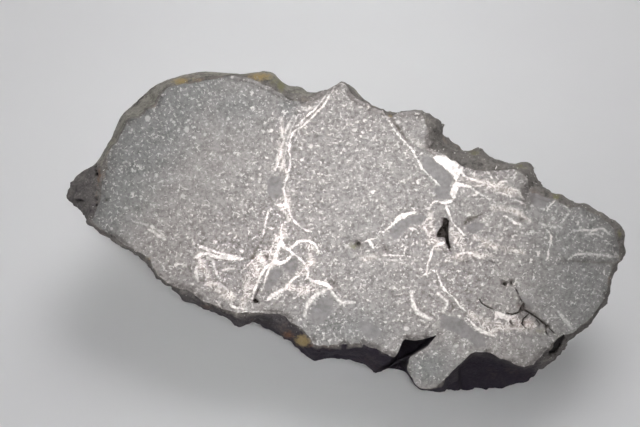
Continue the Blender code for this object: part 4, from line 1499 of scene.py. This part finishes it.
class Shade:
    """A socket in a material, on which Python's operators add Math nodes."""

    def __init__(self, tree: bpy.types.NodeTree, socket: bpy.types.NodeSocket) -> None:
        """Keep the tree and the socket."""
        self.tree = tree
        self.socket = socket

    def link(self, target: bpy.types.NodeSocket) -> None:
        """Link this value into a socket."""
        self.tree.links.new(self.socket, target)

    def math(self, operation: str, *values: Union["Shade", Number]) -> "Shade":
        """Add a Math node.

        Args:
            operation: The node's operation.
            values: What its inputs get, in order.

        Returns:
            The node's result.
        """
        node = self.tree.nodes.new("ShaderNodeMath")
        node.operation = operation
        for slot, value in zip(node.inputs, values):
            fill(slot, value)
        return Shade(self.tree, node.outputs[0])

    __add__ = operator("ADD")
    __radd__ = operator("ADD", reflected=True)
    __sub__ = operator("SUBTRACT")
    __rsub__ = operator("SUBTRACT", reflected=True)
    __mul__ = operator("MULTIPLY")
    __rmul__ = operator("MULTIPLY", reflected=True)
    __abs__ = operator("ABSOLUTE")
    larger = operator("MAXIMUM")

    def step(self, low: Union["Shade", Number], high: Union["Shade", Number]) -> "Shade":
        """Return an eased step: 0 at the low value, 1 at the high one.

        Args:
            low: Where the step starts.
            high: Where it ends.

        Returns:
            The step's height.
        """
        node = self.tree.nodes.new("ShaderNodeMapRange")
        node.interpolation_type = "SMOOTHSTEP"
        for name, value in (("Value", self), ("From Min", low), ("From Max", high)):
            fill(node.inputs[name], value)
        return Shade(self.tree, node.outputs[0])


def fill(socket: bpy.types.NodeSocket, value: Any) -> None:
    """Link a value into a socket, or set it there; a colour gets an alpha of 1.

    Args:
        socket: The input to fill.
        value: A shade, a number or a colour.
    """
    if isinstance(value, Shade):
        value.link(socket)
    elif isinstance(value, tuple) and socket.type == "RGBA":
        socket.default_value = (*value, 1.0)
    else:
        socket.default_value = value


class Recipe:
    """A material under construction, with one method that adds any node."""

    def __init__(self, name: str) -> None:
        """Start an empty material with a Principled BSDF.

        Args:
            name: The material's name.
        """
        self.material = bpy.data.materials.new(name)
        self.material.use_nodes = True
        self.tree = self.material.node_tree
        self.shader = self.tree.nodes["Principled BSDF"]
        self.here = self.add("ShaderNodeTexCoord", {}, {}, "Object")

    def add(self, kind: str, settings: Mapping[str, Any], values: Mapping[Any, Any],
            output: Union[int, str] = 0) -> Shade:
        """Add one node.

        Args:
            kind: The node's type.
            settings: Its own properties, set first.
            values: Numbers, colours or links for its sockets.
            output: Which of its outputs to return.

        Returns:
            The chosen output.
        """
        node = self.tree.nodes.new(kind)
        for name, value in settings.items():
            setattr(node, name, value)
        for name, value in values.items():
            fill(node.inputs[name], value)
        return Shade(self.tree, node.outputs[output])

    def noise(self, size: float, detail: float = 2.0, rough: float = 0.5,
              warp: float = 0.0) -> Shade:
        """Return noise whose lumps are about a size in millimetres."""
        return self.add("ShaderNodeTexNoise", {}, {
            "Vector": self.here, "Scale": 1.0 / (size * MM), "Detail": detail,
            "Roughness": rough, "Distortion": warp})

    def cells(self, size: float) -> Shade:
        """Return the distance to the nearest cell's middle, for cells of a size in mm."""
        return self.add("ShaderNodeTexVoronoi", {"feature": "F1"}, {
            "Vector": self.here, "Scale": 1.0 / (size * MM)}, "Distance")

    def mark(self, name: str) -> Shade:
        """Return a value stored on the mesh's points."""
        return self.add("ShaderNodeAttribute", {"attribute_name": name}, {}, "Fac")

    def mix(self, share: Any, first: Any, second: Any, blend: str = "MIX") -> Shade:
        """Mix two colours by a share from 0 to 1."""
        settings = {"data_type": "RGBA", "blend_type": blend, "clamp_factor": True}
        return self.add("ShaderNodeMix", settings, {0: share, 6: first, 7: second}, 2)

    def finish(self, height: Shade, specular: float = 0.5, **values: Any) -> bpy.types.Material:
        """Fill the shader's sockets and give it a bump.

        Args:
            height: The bump's height in millimetres.
            specular: The specular level all over.
            values: Shader inputs, with underscores for spaces.

        Returns:
            The finished material.
        """
        self.shader.inputs["Specular IOR Level"].default_value = specular
        values["normal"] = self.add("ShaderNodeBump", {}, {
            "Strength": 1.0, "Distance": MM, "Height": height})
        for name, value in values.items():
            fill(self.shader.inputs[name.replace("_", " ").title()], value)
        return self.material


@dataclass(frozen=True)
class Stain:
    """A tint that shows where its stored spots and a patchy noise are high together.

    Attributes:
        name: The stored spots' name.
        tint: Its colour.
        start: The sum of spot and noise at which it starts to show.
        reach: How much higher the sum is where it covers fully.
    """

    name: str
    tint: Colour
    start: float = 0.7
    reach: float = 0.6

    def cover(self, r: Recipe, colour: Shade, patchy: Shade) -> Shade:
        """Return the colour with the stain over it."""
        share = (r.mark(self.name) + patchy - self.start).step(0.0, self.reach)
        return r.mix(share, colour, self.tint)


@dataclass(frozen=True)
class SawnFinish:
    """Polished grey stone full of bright metal grains, with veins and plain patches.

    Attributes:
        dark: The matrix's darker grey.
        pale: The matrix's paler grey.
        cool_tint_and_shade: Painted shade that darkens both ends, and the greenish tint that they have.
        blush: Pinkish grey round the lace of metal threads.
        plain: The even grey of patches without grains.
        plain_dark: The darker clouds in those patches.
        metal: Bright nickel-iron.
        stains: Yellow-brown, greenish-brown and dark red-brown stains.
        dull: Brownish grey along grooves, a stain and painted shade in their crease.
        hollow: Painted shade at the bottom of cracks and cavities.
        dirt: Paler dirt on that bottom.
        mottle: Size of the matrix's fine mottling, in millimetres.
        cloud: Size of its clouds.
        grain: Size of the common metal grains.
        small_grain: Size of the grains between them.
        thread: Size of the meshes in the lace.
        polish: Specular level of the polished stone.
        rough: Roughness of the polished stone.
    """

    dark: Colour = (0.162, 0.146, 0.140)
    pale: Colour = (0.362, 0.330, 0.317)
    cool_tint_and_shade: Colour = (0.66, 0.72, 0.73)
    blush: Colour = (0.40, 0.335, 0.31)
    plain: Colour = (0.236, 0.220, 0.220)
    plain_dark: Colour = (0.185, 0.172, 0.170)
    metal: Colour = (0.82, 0.775, 0.745)
    stains: tuple[Stain, ...] = (
        Stain("ochre", (0.36, 0.25, 0.12), 0.85, 0.8),
        Stain("olive", (0.22, 0.21, 0.13), 0.74, 0.8),
        Stain("rust", (0.16, 0.085, 0.06), 0.74, 0.7),
    )
    dull: Colour = (0.125, 0.110, 0.092)
    hollow: Colour = (0.055, 0.047, 0.043)
    dirt: Colour = (0.125, 0.108, 0.100)
    mottle: float = 1.3
    cloud: float = 5.0
    grain: float = 1.65
    small_grain: float = 1.15
    thread: float = 3.0
    polish: float = 0.4
    rough: float = 0.33

    def build(self) -> bpy.types.Material:
        """Mix the matrix, the metal and the stains.

        Returns:
            The material of the sawn face.
        """
        r = Recipe("sawn_chondrite")
        vein = self.vein(r)
        shine = self.grains(r).larger(self.wisps(r)).larger(vein)
        colour = r.mix(shine, self.matrix(r), self.metal)
        patchy = r.noise(1.6, 3.0, 0.6)
        for stain in self.stains:
            colour = stain.cover(r, colour, patchy)
        # Grooves are painted a darker brownish grey: partly stain, partly painted shade in their
        # crease.
        groove = (r.mark("groove") + 1.2 * (patchy - 0.5)).step(-0.5, 0.9)
        colour = r.mix(0.6 * groove, colour, self.dull)
        # Cracks, cavities and pits are painted dark by their depth: painted shade, with patches of
        # paler dirt.
        hollow = r.mark("cut").step(0.12, 0.8)
        colour = r.mix(hollow, colour, r.mix(patchy.step(0.4, 0.62), self.hollow, self.dirt))
        height = 0.03 * shine + 0.05 * r.noise(0.7, 3.0, 0.6) + 0.25 * groove * r.noise(0.9)
        return r.finish(height, specular=self.polish, base_color=colour,
                        roughness=self.rough - 0.03 * shine + 0.2 * groove + 0.6 * hollow,
                        metallic=shine * (0.7 - 0.38 * vein) * (1.0 - hollow))

    def matrix(self, r: Recipe) -> Shade:
        """Return the grey between the metal grains.

        Fine mottling, stronger where grains are common, and larger clouds mix its two
        greys. The greenish tint and painted shade of the ends, and the tints of the lace and
        the plain patches, lie over it.

        Args:
            r: The material.

        Returns:
            The colour.
        """
        mottled = r.noise(self.mottle, 3.0, 0.7).step(0.36, 0.60)
        clouds = r.noise(self.cloud, 4.0, 0.65).step(0.32, 0.68)
        crisp = 0.46 + 0.28 * r.mark("density")
        stone = r.mix(0.33 + (mottled - 0.5) * crisp + 0.34 * clouds, self.dark, self.pale)
        # Both ends get a greenish tint and are painted darker as shade.
        stone = r.mix(r.mark("cool_tint_and_shade"), stone, self.cool_tint_and_shade, "MULTIPLY")
        stone = r.mix(self.laced(r) * (0.2 + 0.4 * clouds), stone, self.blush)
        even = r.mix(r.noise(3.2, 4.0, 0.65).step(0.35, 0.65), self.plain_dark, self.plain)
        return r.mix(self.bare(r) * 0.8, stone, even)

    def bare(self, r: Recipe) -> Shade:
        """Return where the stone has no grains, from 0 to 1."""
        return (r.mark("plain") + 1.8 * (r.noise(2.6, 2.0) - 0.5)).step(-0.5, 0.5)

    def vein(self, r: Recipe) -> Shade:
        """Return how bright solid veins and metal patches are, from 0 to 1.

        Args:
            r: The material.

        Returns:
            A step at their edge, made ragged by noise, times a noise of brighter islands.
        """
        ragged = 1.7 * (r.noise(0.9, 3.0, 0.7) - 0.5) + 0.9 * (r.noise(3.0) - 0.5)
        islands = 0.40 + 0.28 * r.noise(1.3, 3.0, 0.65).step(0.40, 0.54)
        return (r.mark("vein") + ragged).step(-0.26, 0.24) * islands

    def grains(self, r: Recipe) -> Shade:
        """Return how bright the scattered metal grains are, from 0 to 1.

        Grains lie where a warped noise is high, thicker where the stored density is, and
        a second noise makes some of them dim, as grains turned away from the light are.

        Args:
            r: The material.

        Returns:
            The brightness.
        """
        density = r.mark("density")
        edge = 0.588 - 0.09 * density
        lumps = r.noise(self.grain, 2.0, 0.6, 0.6).step(edge, edge + 0.07)
        turned = 0.36 + 0.64 * r.noise(2.6, 2.0).step(0.40, 0.60)
        small = 0.6 * r.noise(self.small_grain, 1.0).step(edge + 0.03, edge + 0.10)
        # Where grains are rare, towards both ends, they and the large grains below are painted dimmer:
        # painted shade of the light falling off there.
        dim = 0.5 + 0.5 * density
        grains = (lumps * turned).larger(small) * (1.0 - self.bare(r)) * dim
        large = (r.mark("grain") + 0.5 * (r.noise(0.9) - 0.5)).step(0.30, 0.62)
        return grains.larger((0.34 + 0.26 * density) * large)

    def wisps(self, r: Recipe) -> Shade:
        """Return how bright the faint veins and the lace of fine threads are.

        Threads lie where a noise crosses its middle, and clumps where another is high.

        Args:
            r: The material.

        Returns:
            The brightness.
        """
        crumbs = 0.45 + 0.55 * r.noise(1.2, 3.0, 0.65).step(0.42, 0.58)
        faint = (r.mark("faint") + 1.8 * (r.noise(1.6, 3.0, 0.65) - 0.5)).step(-0.5, 0.4)
        net = abs(r.noise(self.thread, 2.5, 0.55, 0.8) - 0.5).step(0.045, 0.008)
        inside = self.laced(r)
        clumps = (r.noise(1.5, 2.5, 0.6) + 0.05 * inside).step(0.57, 0.64)
        lace = (net * inside * 0.6).larger(clumps * inside * 0.28)
        return (faint * crumbs * 0.56).larger(lace)

    def laced(self, r: Recipe) -> Shade:
        """Return where the lace of metal threads lies, from 0 to 1."""
        return (r.mark("lace") + 2.6 * (r.noise(3.0) - 0.5)).step(-0.6, 1.6)


@dataclass(frozen=True)
class BrokenFinish:
    """Rough broken sides, and the dull melted crust left on the upper left.

    Attributes:
        shadowed: Rock in the hollows.
        rock: Plain broken rock.
        dusty: High places that hold pale dust.
        crust: Dull black-brown melted skin.
        worn: Thin crust worn to beige.
        patina: Darker olive-grey skin between the worn places.
        rust: Red-brown, in stains and in soft blotches.
        stains: Yellow-brown, greenish-brown and red-brown stains.
        under: Painted shade on the lower side: a dark grey with a painted purplish bounce light.
        metal: Torn metal that sticks out of the break.
        hollow: Painted shade inside the holes.
        lump: Size of the rock's coarse grain, in millimetres.
        grit: Size of its fine grain.
        blotch: Size of the rusty blotches.
        pit: Size of the small pits.
        gloss: Specular level of the dull rock.
        rough: Roughness of the rock.
    """

    shadowed: Colour = (0.072, 0.066, 0.062)
    rock: Colour = (0.195, 0.180, 0.168)
    dusty: Colour = (0.33, 0.308, 0.28)
    crust: Colour = (0.030, 0.026, 0.023)
    worn: Colour = (0.30, 0.283, 0.248)
    patina: Colour = (0.150, 0.142, 0.122)
    rust: Colour = (0.17, 0.095, 0.065)
    stains: tuple[Stain, ...] = (
        Stain("ochre", (0.34, 0.255, 0.125)), Stain("olive", (0.21, 0.20, 0.115)),
        Stain("rust", rust),
    )
    under: Colour = (0.020, 0.014, 0.028)
    metal: Colour = (0.62, 0.60, 0.57)
    hollow: Colour = (0.022, 0.019, 0.020)
    lump: float = 5.5
    grit: float = 1.2
    blotch: float = 11.0
    pit: float = 2.1
    gloss: float = 0.28
    rough: float = 0.82

    def build(self) -> bpy.types.Material:
        """Mix the rock, the crust, the stains and the torn metal.

        Returns:
            The material of the sides and back.
        """
        r = Recipe("broken_chondrite")
        coarse = r.noise(self.lump, 4.0, 0.6)
        fine = r.noise(self.grit, 4.0, 0.65)
        tone = 0.55 * coarse + 0.45 * fine
        shaded = r.mark("under")
        skin = (r.mark("crust") + 0.9 * (fine - 0.5)).step(0.35, 0.6)
        colour = r.mix(tone.step(0.3, 0.52), self.shadowed, self.rock)
        colour = r.mix(tone.step(0.5, 0.66), colour, self.dusty)
        # Painted shade: the lower side is painted a purplish near-black.
        colour = r.mix(0.92 * shaded, colour, self.under)
        blotch = r.noise(self.blotch, 3.0, 0.6).step(0.54, 0.7) * (1.0 - 0.8 * shaded)
        colour = r.mix(0.4 * blotch * fine.step(0.35, 0.6), colour, self.rust)
        colour = r.mix(skin, colour, self.melted(r, coarse, fine))
        for stain in self.stains:
            colour = stain.cover(r, colour, fine)
        torn = r.noise(1.1, 1.0, 0.5).step(0.71, 0.75) * (1.0 - skin) * (1.0 - shaded)
        colour = r.mix(torn, colour, self.metal)
        # Painted shade: the holes are painted near-black by their depth.
        colour = r.mix(r.mark("hole").step(0.2, 2.2), colour, self.hollow)
        broken = 0.55 * fine + 0.25 * r.cells(self.pit).step(0.0, 0.45)
        height = (1.0 - 0.5 * skin) * broken + 0.12 * skin * r.noise(0.5, 2.0)
        return r.finish(height, specular=self.gloss, base_color=colour, metallic=0.6 * torn,
                        roughness=self.rough - 0.3 * torn - 0.18 * skin)

    def melted(self, r: Recipe, coarse: Shade, fine: Shade) -> Shade:
        """Return the crust's colour, worn thin near the sawn face and black farther down.

        Args:
            r: The material.
            coarse: The rock's coarse grain.
            fine: Its fine grain.

        Returns:
            The colour.
        """
        thinned = r.noise(7.0, 4.0, 0.65) + 0.4 - 0.025 * r.mark("deep")
        thin = r.mix((0.5 * coarse + 0.5 * fine).step(0.38, 0.60), self.patina, self.worn)
        return r.mix((0.6 * thinned + 0.4 * fine).step(0.40, 0.62), self.crust, thin)


@dataclass(frozen=True)
class FloorFinish:
    """A plain pale floor, faintly uneven in tone.

    Attributes:
        colour: The floor's grey.
        shade: Its slightly darker grey.
        cloud: Size of its clouds, in millimetres.
    """

    colour: Colour = (0.76, 0.76, 0.765)
    shade: Colour = (0.72, 0.72, 0.73)
    cloud: float = 90.0

    def build(self) -> bpy.types.Material:
        """Mix the two greys by a large soft noise.

        Returns:
            The floor's material.
        """
        r = Recipe("studio_floor")
        cloudy = r.noise(self.cloud, 2.0)
        return r.finish(0.02 * r.noise(3.0), base_color=r.mix(cloudy, self.shade, self.colour),
                        roughness=0.7 + 0.1 * cloudy)


@dataclass(frozen=True)
class Lamp:
    """A soft rectangular studio light that looks at the stone.

    Attributes:
        name: The light's name.
        azimuth: Degrees round from -Y towards +X, as the stone sees it.
        rise: Degrees above the floor.
        away: Distance in metres.
        size: Width and height in metres.
        power: Power in watts.
        spread: Angle of the fan of light, in degrees, as a grid on a softbox sets it.
    """

    name: str
    azimuth: float
    rise: float
    away: float
    size: Pair
    power: float
    spread: float = 180.0

    def build(self, target: Vector) -> None:
        """Place the light and turn it to the target.

        Args:
            target: The point that it looks at.
        """
        light = bpy.data.lights.new(self.name, "AREA")
        light.shape = "RECTANGLE"
        light.size, light.size_y = self.size
        light.energy = self.power
        light.spread = math.radians(self.spread)
        lamp = add_object(self.name, light)
        aim = Vector(direction(self.azimuth - 90.0, self.rise))
        lamp.location = target + aim * self.away
        lamp.rotation_euler = aim.to_track_quat("Z", "Y").to_euler()


@dataclass
class Studio:
    """The pale floor, the soft lights and the camera, square on to the sawn face.

    Attributes:
        place: Where the sawn face lies.
        lens: Focal length in millimetres.
        sensor: Sensor width in millimetres.
        view_width: Width of the view at the face, in millimetres.
        floor_half: Half the floor's side in metres.
        sky: Brightness of the even light all round.
        lamps: The soft lights.
    """

    place: Placement
    lens: float = 100.0
    sensor: float = 36.0
    view_width: float = 256.0
    floor_half: float = 4.0
    sky: float = 0.22
    lamps: tuple[Lamp, ...] = (
        Lamp("key_light", 165.0, 52.0, 1.0, (0.6, 0.5), 5.0),
        Lamp("face_light", 6.0, 64.5, 1.1, (0.18, 0.18), 0.071, 20.0),
        Lamp("side_light", -75.0, 35.0, 1.2, (0.6, 0.6), 2.0),
    )

    def build_floor(self) -> bpy.types.Object:
        """Build the flat floor at the height that the stone rests on.

        Returns:
            The floor's object.
        """
        half = self.floor_half
        corners = [(-half, -half, 0.0), (half, -half, 0.0), (half, half, 0.0), (-half, half, 0.0)]
        mesh = bpy.data.meshes.new("studio_floor")
        mesh.from_pydata(corners, [], [(0, 1, 2, 3)])
        mesh.materials.append(FloorFinish().build())
        return add_object("studio_floor", mesh)

    def build_lights(self) -> None:
        """Set the even light all round and add the lamps."""
        world = bpy.data.worlds.new("studio_world")
        world.use_nodes = True
        background = world.node_tree.nodes["Background"]
        background.inputs["Color"].default_value = (1.0, 1.0, 1.0, 1.0)
        background.inputs["Strength"].default_value = self.sky
        bpy.context.scene.world = world
        bpy.context.scene.view_settings.view_transform = "Standard"
        for lamp in self.lamps:
            lamp.build(self.target())

    def target(self) -> Vector:
        """Return the face's middle in metres."""
        return Vector(self.place.middle * MM)

    def build_camera(self) -> None:
        """Place the camera on the face's normal and make it the scene's own."""
        data = bpy.data.cameras.new("camera")
        data.lens = self.lens
        data.sensor_width = self.sensor
        camera = add_object("camera", data)
        distance = self.view_width * MM * self.lens / self.sensor
        camera.location = self.target() + Vector(self.place.normal) * distance
        camera.rotation_euler = (math.radians(self.place.tilt), 0.0, 0.0)
        bpy.context.scene.camera = camera


def main() -> None:
    logging.basicConfig(level=logging.INFO, format="%(name)s: %(message)s")
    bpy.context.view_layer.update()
    place = Placement()
    studio = Studio(place)
    studio.build_floor()
    studio.build_lights()
    studio.build_camera()
    LOG.info("studio ready")
    stone = Chondrite(place, StoneBody(place), SawnFace()).build()
    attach(stone, "root")
    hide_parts("meteorite")
    LOG.info("%s has %d points and %d faces", stone.name, len(stone.data.vertices),
             len(stone.data.polygons))


if __name__ == "__main__":
    main()
